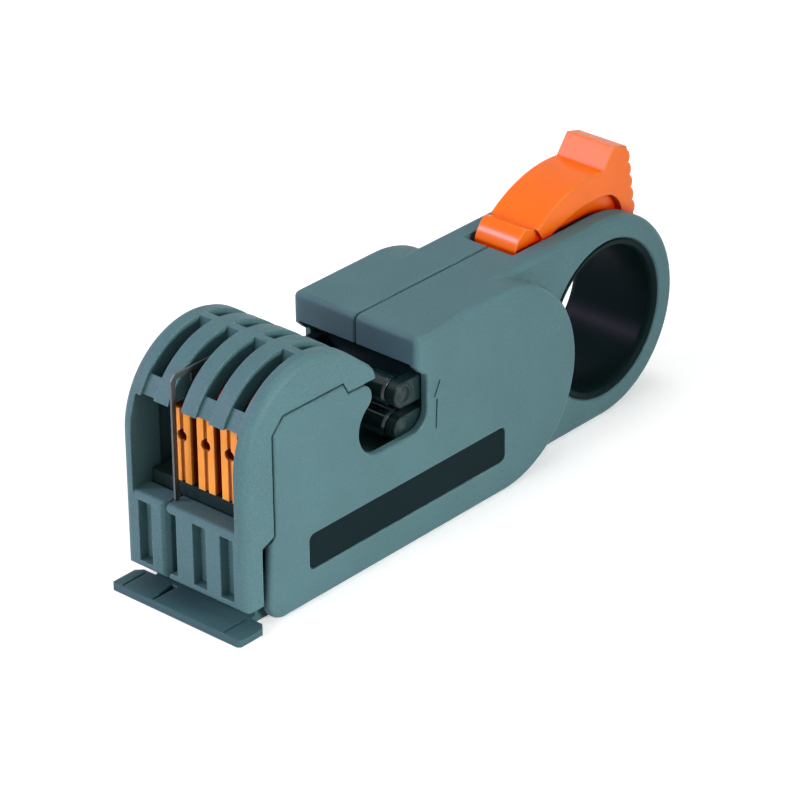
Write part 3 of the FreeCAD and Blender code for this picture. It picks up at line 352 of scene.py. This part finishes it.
@dataclass(frozen=True)
class MouldedPlastic:
    """Moulded plastic with a fine eroded grain, edges lightened partly by wear and partly by painted
    highlight, and, where asked, painted shade deep inside.

    Attributes:
        name: The material's name.
        colour: Main colour.
        wear_and_highlight: Colour of the grain's tips and of the edges, lighter partly as wear and
            partly as painted highlight.
        roughness: Middle roughness.
        grain_mm: Size of the grain.
        grain_depth_mm: Depth of the grain.
        edge_mm: Radius of the edges in the shading.
        gloss: Specular level.
        painted_inner_shade: Colour of the painted shade deep inside, where light hardly reaches.
        inner_shade_from_mm: Heights between which the painted shade sets in.
        cloud_mm: Size of the faint clouds in the main colour.
        patch_mm: Size of the duller and glossier patches.
        speck_share: Largest share of the grain's colours.
        edge_wear_and_highlight_share: Largest share of wear and painted highlight on an edge.
    """

    name: str
    colour: Colour
    wear_and_highlight: Colour
    roughness: float = 0.5
    grain_mm: float = 0.22
    grain_depth_mm: float = 0.012
    edge_mm: float = 0.35
    gloss: float = 0.22
    painted_inner_shade: Colour | None = None
    inner_shade_from_mm: tuple[float, float] = (2.0, 9.0)
    cloud_mm: float = 9.0
    patch_mm: float = 0.6
    speck_share: float = 0.45
    edge_wear_and_highlight_share: float = 0.85

    def material(self) -> bpy.types.Material:
        """Return the finished material."""
        tree = Tree(self.name)
        clouds = tree.noise(self.cloud_mm, detail=3.0)
        body = tree.ramp(clouds, [(0.3, shade(self.colour, 0.94)), (0.7, shade(self.colour, 1.06))])
        grain = tree.noise(self.grain_mm, detail=1.0)
        # The grain's tips and the edges take the lighter second colour: partly wear, partly a painted
        # highlight.
        speck = tree.ramp(grain, [(0.25, shade(self.colour, 0.80)), (0.8, self.wear_and_highlight)])
        speckled = tree.mixed(tree.scaled(grain, 0.0, self.speck_share), body, speck)
        edge = tree.scaled(tree.edge_share(self.edge_mm * 1.6, 0.02, 0.4), 0.0, self.edge_wear_and_highlight_share)
        bare = shade(self.wear_and_highlight, 1.5)
        lit_and_rubbed_edge = tree.ramp(grain, [(0.35, self.colour), (0.6, self.wear_and_highlight), (0.75, bare)])
        surface = tree.mixed(edge, speckled, lit_and_rubbed_edge)
        # Painted shade: the colour darkens towards the shade colour between the two heights.
        if self.painted_inner_shade is not None:
            painted_inner_colour = tree.ramp(clouds, [(0.3, shade(self.painted_inner_shade, 0.7)), (0.7, shade(self.painted_inner_shade, 1.3))])
            surface = tree.mixed(tree.share_along("Z", *self.inner_shade_from_mm), surface, painted_inner_colour)
        tree.feed("Base Color", surface)
        patches = tree.noise(self.patch_mm)
        tree.feed("Roughness", tree.scaled(patches, self.roughness - 0.07, self.roughness + 0.08))
        tree.feed("Normal", tree.bump(grain, self.grain_depth_mm, tree.soft_edges(self.edge_mm)))
        tree.set(Specular_IOR_Level=self.gloss)
        return tree.material


@dataclass(frozen=True)
class GlossyPlastic:
    """Smooth glossy plastic with faint flow marks and fine scuffs, and, where asked, a painted
    highlight along its edges and painted shade in its gaps and pockets.

    Attributes:
        name: The material's name.
        colour: Main colour.
        roughness: Middle roughness.
        variation: How far the main colour's clouds go up and down.
        wave_mm: Size of the flow marks.
        wave_depth_mm: Depth of the flow marks.
        edge_mm: Radius of the edges in the shading.
        painted_edge_highlight: Colour of a painted highlight along the edges.
        gloss: Specular level.
        depth_mm: Stations between which the painted shade of the gaps sets in.
        gap_shade_colour: Colour of the painted shade in the gaps.
        pocket_mm: Reach of the walls that shelter a pocket.
        pocket_share: Shelter at which the painted shade starts and is whole.
        pocket_shade_colour: Colour of the painted shade in a pocket.
        cloud_mm: Size of the clouds.
        scuff_mm: Size of the scuffs.
    """

    name: str
    colour: Colour
    roughness: float = 0.24
    variation: float = 0.05
    wave_mm: float = 1.6
    wave_depth_mm: float = 0.01
    edge_mm: float = 0.3
    painted_edge_highlight: Colour | None = None
    gloss: float = 0.5
    depth_mm: tuple[float, float] | None = None
    gap_shade_colour: Colour = (0.16, 0.012, 0.002)
    pocket_mm: float | None = None
    pocket_share: tuple[float, float] = (0.12, 0.5)
    pocket_shade_colour: Colour = (0.70, 0.022, 0.0)
    cloud_mm: float = 6.0
    scuff_mm: float = 0.5

    def material(self) -> bpy.types.Material:
        """Return the finished material."""
        tree = Tree(self.name)
        clouds = tree.noise(self.cloud_mm, detail=2.0)
        low = shade(self.colour, 1 - self.variation)
        high = shade(self.colour, 1 + self.variation)
        body = tree.ramp(clouds, [(0.3, low), (0.7, high)])
        # Painted highlight: the edges turn a lighter colour.
        if self.painted_edge_highlight is not None:
            edge = tree.edge_share(self.edge_mm * 2, 0.02, 0.5)
            lit = tree.ramp(clouds, [(0.3, self.colour), (0.5, self.painted_edge_highlight)])
            body = tree.mixed(edge, body, lit)
        # Painted shade: pockets sheltered by nearby walls turn a deep red.
        if self.pocket_mm is not None:
            brighter = shade(self.pocket_shade_colour, 1.2)
            inside = tree.ramp(clouds, [(0.3, self.pocket_shade_colour), (0.7, brighter)])
            body = tree.mixed(tree.shelter(self.pocket_mm, *self.pocket_share), body, inside)
        # Painted shade in the gaps: darker behind a station along X.
        if self.depth_mm is not None:
            deep = tree.ramp(clouds, [(0.3, self.gap_shade_colour), (0.7, shade(self.gap_shade_colour, 1.6))])
            body = tree.mixed(tree.share_along("X", *self.depth_mm), body, deep)
        tree.feed("Base Color", body)
        scuffs = tree.noise(self.scuff_mm, detail=4.0, roughness=0.7)
        tree.feed("Roughness", tree.scaled(scuffs, self.roughness - 0.06, self.roughness + 0.08))
        waves = tree.noise(self.wave_mm, detail=2.0)
        tree.feed("Normal", tree.bump(waves, self.wave_depth_mm, tree.soft_edges(self.edge_mm)))
        tree.set(Specular_IOR_Level=self.gloss)
        return tree.material


@dataclass(frozen=True)
class DrawnSteel:
    """Plain or blackened steel with fine lines along one axis.

    Attributes:
        name: The material's name.
        colour: Main colour.
        stretch: Scale of the lines along each axis.
        roughness: Middle roughness.
        metallic: Metallic share.
        line_mm: Width of the lines.
        line_depth_mm: Depth of the lines.
    """

    name: str
    colour: Colour
    stretch: Point = (0.08, 1.0, 1.0)
    roughness: float = 0.3
    metallic: float = 1.0
    line_mm: float = 0.25
    line_depth_mm: float = 0.004

    def material(self) -> bpy.types.Material:
        """Return the finished material."""
        tree = Tree(self.name)
        lines = tree.streaks(self.line_mm, self.stretch)
        body = tree.ramp(lines, [(0.3, shade(self.colour, 0.85)), (0.7, shade(self.colour, 1.1))])
        tree.feed("Base Color", body)
        tree.feed("Roughness", tree.scaled(lines, self.roughness - 0.08, self.roughness + 0.12))
        tree.feed("Normal", tree.bump(lines, self.line_depth_mm))
        tree.set(Metallic=self.metallic)
        return tree.material


class Finish(Enum):
    """The tool's finishes."""

    HOUSING = MouldedPlastic(
        "housing_plastic", (0.067, 0.158, 0.172), (0.160, 0.268, 0.285), grain_depth_mm=0.02
    )
    # Same plastic as the housing; the lighter second colour gives the head's rib edges and grain a
    # stronger painted highlight.
    HEAD = MouldedPlastic(
        "head_plastic", (0.067, 0.160, 0.172), (0.180, 0.295, 0.310), grain_depth_mm=0.03
    )
    MAGAZINE = MouldedPlastic(
        "magazine_plastic",
        (0.046, 0.115, 0.126),
        (0.10, 0.185, 0.20),
        edge_mm=0.5,
        gloss=0.12,
        # Painted shade inside the magazine, darker higher up.
        painted_inner_shade=(0.012, 0.026, 0.028),
    )
    LEVER = GlossyPlastic(
        "lever_plastic",
        (0.98, 0.170, 0.004),
        variation=0.02,
        edge_mm=0.45,
        # Painted highlight along the edges.
        painted_edge_highlight=(1.0, 0.36, 0.05),
        gloss=0.3,
        # Painted deep red shade in the pockets under the arch.
        pocket_mm=2.2,
    )
    CARRIER = GlossyPlastic(
        "carrier_plastic",
        (0.95, 0.330, 0.030),
        variation=0.1,
        edge_mm=0.22,
        # Painted highlight along the edges.
        painted_edge_highlight=(1.0, 0.66, 0.24),
        gloss=0.3,
        # Painted shade in the gaps between the carriers.
        depth_mm=(-52.0, -51.3),
    )
    MECHANISM = GlossyPlastic(
        "mechanism_plastic", (0.009, 0.027, 0.029), roughness=0.3, edge_mm=0.4, gloss=0.3
    )
    ROLLER = GlossyPlastic(
        "roller_plastic", (0.008, 0.024, 0.026), roughness=0.11, edge_mm=0.2, gloss=0.5
    )
    LINER = GlossyPlastic(
        "liner_plastic", (0.004, 0.014, 0.015), roughness=0.34, edge_mm=0.5, gloss=0.035
    )
    PLATE = MouldedPlastic(
        "plate_face",
        (0.005, 0.015, 0.018),
        (0.010, 0.024, 0.028),
        grain_mm=0.12,
        edge_mm=0.1,
        gloss=0.035,
    )
    # Dark strips painted with the shade of the mark's engraved grooves.
    MARK = MouldedPlastic(
        "painted_groove_shade", (0.034, 0.078, 0.086), (0.05, 0.10, 0.11), grain_mm=0.1, edge_mm=0.02
    )
    SPRING_STEEL = DrawnSteel("spring_steel", (0.13, 0.15, 0.155), (1.0, 1.0, 0.08), roughness=0.5)
    ROD_STEEL = DrawnSteel("rod_steel", (0.60, 0.61, 0.62))
    BLADE_STEEL = DrawnSteel("blade_steel", (0.60, 0.61, 0.62), (1.0, 1.0, 0.1), roughness=0.22)
    BLACK_STEEL = DrawnSteel("black_steel", (0.035, 0.033, 0.030), roughness=0.45)

    def material(self) -> bpy.types.Material:
        """Return the finish's material, made the first time that it is asked for."""
        return bpy.data.materials.get(self.value.name) or self.value.material()


def dress(piece: bpy.types.Object, finish: Finish) -> None:
    """Give a piece one finish all over.

    Args:
        piece: The piece.
        finish: Its finish.
    """
    piece.data.materials.clear()
    piece.data.materials.append(finish.material())


class Bench:
    """Modelling operators, used as by hand."""

    @staticmethod
    def clear() -> None:
        """Deselect everything."""
        bpy.ops.object.select_all(action="DESELECT")

    @staticmethod
    def disc(
        name: str, place: Vector, axis: Vector, radius: float, depth: float, sides: int
    ) -> bpy.types.Object:
        """Add a disc with its middle at a place.

        Args:
            name: The piece's name.
            place: Middle of the disc.
            axis: Direction that its front faces.
            radius: Radius over its corners.
            depth: Thickness.
            sides: Number of sides.

        Returns:
            The disc, selected and active.
        """
        Bench.clear()
        turn = Vector((0, 0, 1)).rotation_difference(axis).to_euler()
        bpy.ops.mesh.primitive_cylinder_add(
            vertices=sides, radius=radius, depth=depth, location=place, rotation=turn
        )
        piece = bpy.context.active_object
        piece.name = name
        bpy.ops.object.transform_apply(location=True, rotation=True, scale=True)
        return piece

    @staticmethod
    def pick_faces(piece: bpy.types.Object, wanted: Callable[[bpy.types.MeshPolygon], bool]) -> None:
        """Enter edit mode with only some faces selected.

        Args:
            piece: The piece.
            wanted: Test that picks the faces.
        """
        bpy.ops.object.mode_set(mode="EDIT")
        bpy.ops.mesh.select_mode(type="FACE")
        bpy.ops.mesh.select_all(action="DESELECT")
        bpy.ops.object.mode_set(mode="OBJECT")
        for face in piece.data.polygons:
            face.select = wanted(face)
        bpy.ops.object.mode_set(mode="EDIT")

    @staticmethod
    def step(inset: float, rise: float, axis: Vector) -> None:
        """Inset the selected face and move it along an axis.

        Args:
            inset: Width of the inset.
            rise: How far the face moves.
            axis: Direction of the move.
        """
        bpy.ops.mesh.inset(thickness=inset, depth=0.0)
        bpy.ops.mesh.extrude_region_move(TRANSFORM_OT_translate={"value": axis * rise})

    @staticmethod
    def close(piece: bpy.types.Object, bevel: float) -> bpy.types.Object:
        """Leave edit mode, round the edges and smooth the piece.

        Args:
            piece: The piece to close.
            bevel: Width of the rounding.

        Returns:
            The finished piece.
        """
        bpy.ops.object.mode_set(mode="OBJECT")
        rounding = piece.modifiers.new("rounding", "BEVEL")
        rounding.width = bevel
        rounding.segments = 2
        rounding.angle_limit = ROUNDED_ABOVE
        bpy.ops.object.modifier_apply(modifier=rounding.name)
        bpy.ops.object.shade_smooth_by_angle(angle=SMOOTH_BELOW)
        return piece


@dataclass
class ToolPart:
    """A sub-assembly: the solids it dresses and the fittings it adds.

    Attributes:
        frame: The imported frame.
    """

    frame: dict

    def finishes(self) -> dict[str, Finish]:
        """Return the finish of each solid."""
        return {}

    def fittings(self) -> None:
        """Add the small fittings, none by default."""

    def build(self) -> None:
        """Dress the solids and add the fittings."""
        for node, finish in self.finishes().items():
            dress(self.frame["nodes"][node], finish)
            LOG.info("%s dressed in %s", node, finish.name.lower())
        self.fittings()

    def mount(self, piece: bpy.types.Object, body: str, slot: str, finish: Finish) -> None:
        """Dress a fitting and fix it to a body.

        Args:
            piece: The fitting.
            body: Name of the body that carries it.
            slot: The record's material slot; not used.
            finish: The fitting's finish.
        """
        dress(piece, finish)
        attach(piece, body)
        LOG.info("%s added on %s", piece.name, body)


@dataclass
class Housing(ToolPart):
    """The two shells, their screws and the bare plate.

    Attributes:
        screw_head_radius_mm: Outer radius of the rims in the screws' heads.
        screw_stations_mm: Distance of each screw from the tool's front.
        socket_rise_mm: How far a rim's middle stands out of the screw's head.
        mark_strokes_mm: Station and height of the upper and of the lower end of each stroke.
        mark_width_mm: Width of a stroke at its upper end.
        mark_depth_mm: Thickness of a stroke.
        mark_taper: Share of the width that is left at the lower end.
        mark_rounding_mm: Rounding of a stroke's edges.
    """

    screw_head_radius_mm: float = 1.5
    screw_stations_mm: tuple[float, ...] = (23.5, 44.0, 63.0)
    socket_rise_mm: float = 0.05
    mark_strokes_mm: tuple[tuple[float, float, float, float], ...] = (
        (38.06, 28.35, 36.58, 25.7),
        (37.3, 25.14, 37.0, 19.68),
    )
    mark_width_mm: float = 0.45
    mark_depth_mm: float = 0.04
    mark_taper: float = 0.4
    mark_rounding_mm: float = 0.01

    def finishes(self) -> dict[str, Finish]:
        """Return the finish of each solid."""
        return {
            "label_side_shell": Finish.HOUSING,
            "screw_side_shell": Finish.HOUSING,
            "label_plate": Finish.PLATE,
            "housing_screws": Finish.BLACK_STEEL,
        }

    def fittings(self) -> None:
        """Add a socket rim to each housing screw and the small mark behind the port, as dark strips
        painted with the shade of its engraved grooves.
        """
        for number, stroke in enumerate(self.mark_strokes_mm, start=1):
            self.mount(self.mark(f"port_mark_{number}", stroke), "base", "housing", Finish.MARK)
        low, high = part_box("housing_screws")
        face = high[1]
        middle = (low[2] + high[2]) / 2
        for number, station in enumerate(self.screw_stations_mm, start=1):
            place = Vector(((station + STATION_ZERO_MM) * MM, face + self.socket_rise_mm * MM, middle))
            name = f"housing_screw_socket_{number}"
            rim = socket_rim(name, place, Vector((0, 1, 0)), self.screw_head_radius_mm)
            self.mount(rim, "base", "screw_steel", Finish.BLACK_STEEL)

    def mark(self, name: str, stroke: tuple[float, float, float, float]) -> bpy.types.Object:
        """Model a stroke of the mark: a flat bar that tapers towards its lower end.

        Args:
            name: The piece's name.
            stroke: Station and height of its upper and of its lower end, in millimetres.

        Returns:
            The finished stroke.
        """
        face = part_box("label_side_shell")[0][1]
        top = Vector(((stroke[0] + STATION_ZERO_MM) * MM, face, stroke[1] * MM))
        foot = Vector(((stroke[2] + STATION_ZERO_MM) * MM, face, stroke[3] * MM))
        along = top - foot
        Bench.clear()
        bpy.ops.mesh.primitive_cube_add(size=1.0, location=(top + foot) / 2)
        bar = bpy.context.active_object
        bar.name = name
        bar.scale = (self.mark_width_mm * MM, self.mark_depth_mm * MM, along.length)
        bar.rotation_euler = along.to_track_quat("Z", "Y").to_euler()
        bpy.ops.object.transform_apply(location=True, rotation=True, scale=True)
        Bench.pick_faces(bar, lambda flat: flat.normal.dot(along.normalized()) < -FACING)
        bpy.ops.transform.resize(value=(self.mark_taper, 1.0, self.mark_taper), center_override=foot)
        return Bench.close(bar, self.mark_rounding_mm * MM)


def socket_rim(name: str, place: Vector, axis: Vector, radius_mm: float) -> bpy.types.Object:
    """Model the rim of a screw's hexagon socket.

    Args:
        name: The piece's name.
        place: Middle of the rim.
        axis: Direction that the screw's head faces.
        radius_mm: Outer radius of the rim.

    Returns:
        The finished rim.
    """
    rim = Bench.disc(name, place, axis, radius_mm * MM, RIM_DEPTH_MM * MM, RIM_SIDES)
    key = Bench.disc("key", place, axis, radius_mm * KEY_SHARE * MM, KEY_DEPTH_MM * MM, KEY_SIDES)
    Bench.clear()
    rim.select_set(True)
    bpy.context.view_layer.objects.active = rim
    cut = rim.modifiers.new("socket", "BOOLEAN")
    cut.operation = "DIFFERENCE"
    cut.object = key
    bpy.ops.object.modifier_apply(modifier=cut.name)
    bpy.data.objects.remove(key)
    return Bench.close(rim, RIM_ROUNDING_MM * MM)


@dataclass
class BladeHead(ToolPart):
    """The ribbed head, the magazine with its flange, and the clip."""

    def finishes(self) -> dict[str, Finish]:
        """Return the finish of each solid."""
        return {
            "blade_head": Finish.HEAD,
            "blade_magazine": Finish.MAGAZINE,
            "retaining_clip": Finish.SPRING_STEEL,
        }


@dataclass
class BladeRow(ToolPart):
    """The three carriers with their blades and depth screws.

    Attributes:
        letters: Letter of each carrier.
        rim_offset_mm: How far a rim's middle stands in front of the screw's end.
        rim_share: Share of the screw's radius that the rim takes.
    """

    letters: tuple[str, ...] = ("a", "b", "c")
    rim_offset_mm: float = 0.1
    rim_share: float = 0.94

    def finishes(self) -> dict[str, Finish]:
        """Return the finish of each solid."""
        finishes = {}
        for letter in self.letters:
            finishes["blade_carrier_" + letter] = Finish.CARRIER
            finishes["blade_" + letter] = Finish.BLADE_STEEL
            finishes["depth_screw_" + letter] = Finish.BLACK_STEEL
        return finishes

    def fittings(self) -> None:
        """Add a socket rim to each depth screw."""
        for letter in self.letters:
            low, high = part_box("depth_screw_" + letter)
            radius = (high[2] - low[2]) / 2 / MM
            front = low[0] - self.rim_offset_mm * MM
            place = Vector((front, (low[1] + high[1]) / 2, (low[2] + high[2]) / 2))
            name = "depth_screw_socket_" + letter
            rim = socket_rim(name, place, Vector((-1, 0, 0)), radius * self.rim_share)
            self.mount(rim, "screw_" + letter, "screw_steel", Finish.BLACK_STEEL)


@dataclass
class Mechanism(ToolPart):
    """The roller carriage with its rollers, pins, rod and spring.

    Attributes:
        cap_radius_mm: Radius of the caps on the roller pins.
        cap_rise_mm: Thickness of a cap.
        cap_sides: Number of sides of a cap.
        cap_steps_mm: Inset and rise of each step on a cap, from its edge inwards.
        cap_rounding_mm: Rounding of a cap's edges.
        wire_mm: Half the thickness of the spring's wire.
        wire_sides: Number of sides of the wire.
        turns: Number of the spring's turns.
        turn_steps: Number of steps round each turn.
        pressed_share: Share of the spring's length that is left when the carriage is back; not used.
    """

    cap_radius_mm: float = 2.15
    cap_rise_mm: float = 0.16
    cap_sides: int = 32
    cap_steps_mm: tuple[tuple[float, float], ...] = ((0.3, -0.05), (0.5, 0.06), (0.6, 0.05))
    cap_rounding_mm: float = 0.05
    wire_mm: float = 0.45
    wire_sides: int = 12
    turns: int = 5
    turn_steps: int = 32
    pressed_share: float = 0.39

    def finishes(self) -> dict[str, Finish]:
        """Return the finish of each solid."""
        return {
            "roller_carriage": Finish.MECHANISM,
            "upper_roller": Finish.ROLLER,
            "lower_roller": Finish.ROLLER,
            "upper_roller_pin": Finish.MECHANISM,
            "lower_roller_pin": Finish.MECHANISM,
            "pull_rod": Finish.ROD_STEEL,
            "return_spring": Finish.SPRING_STEEL,
            "lever_pin": Finish.ROD_STEEL,
        }

    def fittings(self) -> None:
        """Add the coil and a ringed cap to both ends of each roller pin."""
        self.mount(self.coil(), "base", "steel", Finish.SPRING_STEEL)
        for level in ("upper", "lower"):
            low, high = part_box(level + "_roller_pin")
            middle = Vector(((low[0] + high[0]) / 2, 0, (low[2] + high[2]) / 2))
            for side, face in (("near", low[1]), ("far", high[1])):
                outward = Vector((0, math.copysign(1, face), 0))
                place = Vector((middle.x, face, middle.z))
                cap = self.cap(f"{level}_pin_cap_{side}", place, outward)
                self.mount(cap, "carriage", "carriage", Finish.MECHANISM)

    def coil(self) -> bpy.types.Object:
        """Wind the return spring in its solid's place.

        Returns:
            The coil.
        """
        low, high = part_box("return_spring")
        wire = self.wire_mm * MM
        Bench.clear()
        bpy.ops.mesh.primitive_circle_add(
            vertices=self.wire_sides,
            radius=wire,
            location=(0, 0, (high[2] - low[2]) / 2 - wire),
            rotation=(math.pi / 2, 0, 0),
        )
        coil = bpy.context.active_object
        coil.name = "return_coil"
        bpy.ops.object.transform_apply(location=True, rotation=True, scale=True)
        winding = coil.modifiers.new("winding", "SCREW")
        winding.axis = "X"
        winding.steps = winding.render_steps = self.turn_steps
        winding.iterations = self.turns
        winding.screw_offset = (high[0] - low[0] - 2 * wire) / self.turns
        bpy.ops.object.modifier_apply(modifier=winding.name)
        bpy.ops.object.mode_set(mode="EDIT")
        bpy.ops.mesh.select_all(action="SELECT")
        bpy.ops.mesh.fill_holes(sides=0)
        bpy.ops.mesh.normals_make_consistent(inside=False)
        bpy.ops.object.mode_set(mode="OBJECT")
        bpy.ops.object.shade_smooth_by_angle(angle=COIL_SMOOTH_BELOW)
        coil.location = (low[0] + wire, (low[1] + high[1]) / 2, (low[2] + high[2]) / 2)
        bpy.ops.object.transform_apply(location=True, rotation=False, scale=False)
        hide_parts("return_spring")
        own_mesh(coil)
        return coil

    def cap(self, name: str, place: Vector, outward: Vector) -> bpy.types.Object:
        """Model a pin's cap: a low disc with a shallow ring round a slightly domed middle.

        Args:
            name: The piece's name.
            place: Middle of the pin's end.
            outward: Direction that the end faces.

        Returns:
            The finished cap.
        """
        depth = self.cap_rise_mm * MM
        cap = Bench.disc(name, place, outward, self.cap_radius_mm * MM, depth, self.cap_sides)
        Bench.pick_faces(cap, lambda face: face.normal.dot(outward) > FACING)
        for inset, rise in self.cap_steps_mm:
            Bench.step(inset * MM, rise * MM, outward)
        return Bench.close(cap, self.cap_rounding_mm * MM)


@dataclass
class ThumbLever(ToolPart):
    """The thumb lever."""

    def finishes(self) -> dict[str, Finish]:
        """Return the finish of each solid."""
        return {"thumb_lever": Finish.LEVER}


@dataclass
class FingerRing(ToolPart):
    """The liner of the finger ring."""

    def finishes(self) -> dict[str, Finish]:
        """Return the finish of each solid."""
        return {"ring_liner": Finish.LINER}


@dataclass
class Softbox:
    """A square lamp that faces the tool.

    Attributes:
        name: The lamp's name.
        place: Where it stands, in metres.
        size: Length of its sides.
        power: Its power in watts.
        target: Point that it faces.
        spread: Full angle of its beam, in degrees.
        tint: Its colour.
    """

    name: str
    place: Point
    size: float
    power: float
    target: Point = (0.0, 0.0, 0.02)
    spread: float = 180.0
    tint: Colour = (1.0, 1.0, 1.0)

    def light(self) -> None:
        """Add the lamp, turned towards its target."""
        lamp = bpy.data.lights.new(self.name, "AREA")
        lamp.size = self.size
        lamp.energy = self.power
        lamp.color = self.tint
        lamp.spread = math.radians(self.spread)
        holder = bpy.data.objects.new(self.name, lamp)
        holder.location = self.place
        sight = Vector(self.place) - Vector(self.target)
        holder.rotation_euler = sight.to_track_quat("Z", "Y").to_euler()
        bpy.context.scene.collection.objects.link(holder)


@dataclass
class Studio:
    """The pale floor, the lamps and the camera.

    Attributes:
        azimuth: Direction of the camera round the tool, in degrees.
        elevation: Its height angle, in degrees.
        roll: Its roll, in degrees.
        camera_place: Its place, in metres.
        lens_mm: Its focal length.
        sensor_mm: Its sensor's width.
        near_clip: Distance at which its view starts, in metres.
        floor_size: Side of the floor, in metres.
        paper: Colour of the floor.
        sky: Strength of the even light.
        floor_glow: Strength of the floor's own white, seen by the camera and in gloss.
        lamps: The lamps.
    """

    azimuth: float = -48.25
    elevation: float = 28.07
    roll: float = -0.63
    camera_place: Point = (-0.46233, -0.40941, 0.34556)
    lens_mm: float = 185.04
    sensor_mm: float = 36.0
    near_clip: float = 0.01
    floor_size: float = 6.0
    paper: Colour = (0.86, 0.86, 0.86)
    sky: float = 0.38
    floor_glow: float = 0.45
    lamps: tuple[Softbox, ...] = (
        Softbox("side_lamp", (0.05, -0.80, 0.25), 0.2, 0.175, (-0.075, 0.0, 0.03), 27.0),
        Softbox("front_lamp", (-1.15, 0.05, 0.30), 0.3, 4.2),
        Softbox("back_left_lamp", (-0.75, 0.69, 0.63), 0.22, 5.2, tint=(0.92, 0.66, 1.0)),
        Softbox("top_lamp", (0.15, 0.10, 1.40), 0.6, 5.4),
    )

    def build(self) -> None:
        """Set up the whole studio."""
        self.floor()
        self.world()
        for lamp in self.lamps:
            lamp.light()
        self.camera()
        bpy.context.scene.view_settings.view_transform = "Standard"
        LOG.info("studio set up")

    def floor(self) -> None:
        """Lay the pale floor, which shows white and keeps a soft shadow."""
        Bench.clear()
        bpy.ops.mesh.primitive_plane_add(size=self.floor_size)
        floor = bpy.context.active_object
        floor.name = "floor"
        tree = Tree("floor_paper")
        tree.set(Base_Color=self.paper, Roughness=0.9, Specular_IOR_Level=0.0)
        glow = self.seen(tree, self.floor_glow)
        join = tree.nodes.new("ShaderNodeAddShader")
        tree.links.new(tree.shader.outputs["BSDF"], join.inputs[0])
        tree.links.new(glow, join.inputs[1])
        tree.links.new(join.outputs["Shader"], tree.output.inputs["Surface"])
        floor.data.materials.append(tree.material)

    def seen(self, tree: Tree, strength: float) -> bpy.types.NodeSocket:
        """Add a white glow that only the camera, gloss and glass see.

        Args:
            tree: The shader tree that it goes into.
            strength: Its strength, where 1 is white.

        Returns:
            The glow.
        """
        glow = tree.nodes.new("ShaderNodeEmission")
        tree.links.new(self.sight(tree.nodes, tree.links, strength), glow.inputs["Strength"])
        return glow.outputs["Emission"]

    def sight(
        self, nodes: bpy.types.Nodes, links: bpy.types.NodeLinks, strength: float
    ) -> bpy.types.NodeSocket:
        """Add a strength that holds for camera, glossy and transmission rays only.

        Args:
            nodes: Nodes of the tree that it goes into.
            links: Links of that tree.
            strength: The strength.

        Returns:
            The strength, which is 0 for all other rays.
        """
        rays = nodes.new("ShaderNodeLightPath")
        total = nodes.new("ShaderNodeMath")
        total.operation = "MAXIMUM"
        links.new(rays.outputs["Is Camera Ray"], total.inputs[0])
        links.new(rays.outputs["Is Glossy Ray"], total.inputs[1])
        every = nodes.new("ShaderNodeMath")
        every.operation = "MAXIMUM"
        links.new(total.outputs["Value"], every.inputs[0])
        links.new(rays.outputs["Is Transmission Ray"], every.inputs[1])
        scale = nodes.new("ShaderNodeMath")
        scale.operation = "MULTIPLY"
        scale.inputs[1].default_value = strength
        links.new(every.outputs["Value"], scale.inputs[0])
        return scale.outputs["Value"]

    def world(self) -> None:
        """Make the surroundings white to the eye and a soft even light on the tool."""
        world = bpy.data.worlds.new("studio_sky")
        bpy.context.scene.world = world
        world.use_nodes = True
        nodes, links = world.node_tree.nodes, world.node_tree.links
        nodes.clear()
        sky = nodes.new("ShaderNodeBackground")
        white = nodes.new("ShaderNodeBackground")
        sky.inputs["Strength"].default_value = self.sky
        mix = nodes.new("ShaderNodeMixShader")
        links.new(self.sight(nodes, links, 1.0), mix.inputs["Fac"])
        links.new(sky.outputs["Background"], mix.inputs[1])
        links.new(white.outputs["Background"], mix.inputs[2])
        output = nodes.new("ShaderNodeOutputWorld")
        links.new(mix.outputs["Shader"], output.inputs["Surface"])

    def camera(self) -> None:
        """Place the camera at the photograph's viewing angle."""
        azimuth, elevation = math.radians(self.azimuth), math.radians(self.elevation)
        level = math.cos(elevation)
        back = Vector((math.sin(azimuth) * level, -math.cos(azimuth) * level, math.sin(elevation)))
        turn = back.to_track_quat("Z", "Y") @ Quaternion((0, 0, 1), math.radians(self.roll))
        lens = bpy.data.cameras.new("camera")
        lens.lens = self.lens_mm
        lens.sensor_width = self.sensor_mm
        lens.clip_start = self.near_clip
        camera = bpy.data.objects.new("camera", lens)
        camera.location = self.camera_place
        camera.rotation_mode = "QUATERNION"
        camera.rotation_quaternion = turn
        bpy.context.scene.collection.objects.link(camera)
        bpy.context.scene.camera = camera


def main() -> None:
    """Load the frame, dress and fit every sub-assembly, and set up the studio."""
    logging.basicConfig(level=logging.INFO, format="%(name)s: %(message)s")
    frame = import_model()
    for part in (Housing, BladeHead, BladeRow, Mechanism, ThumbLever, FingerRing):
        part(frame).build()
    Studio().build()


if __name__ == "__main__":
    main()
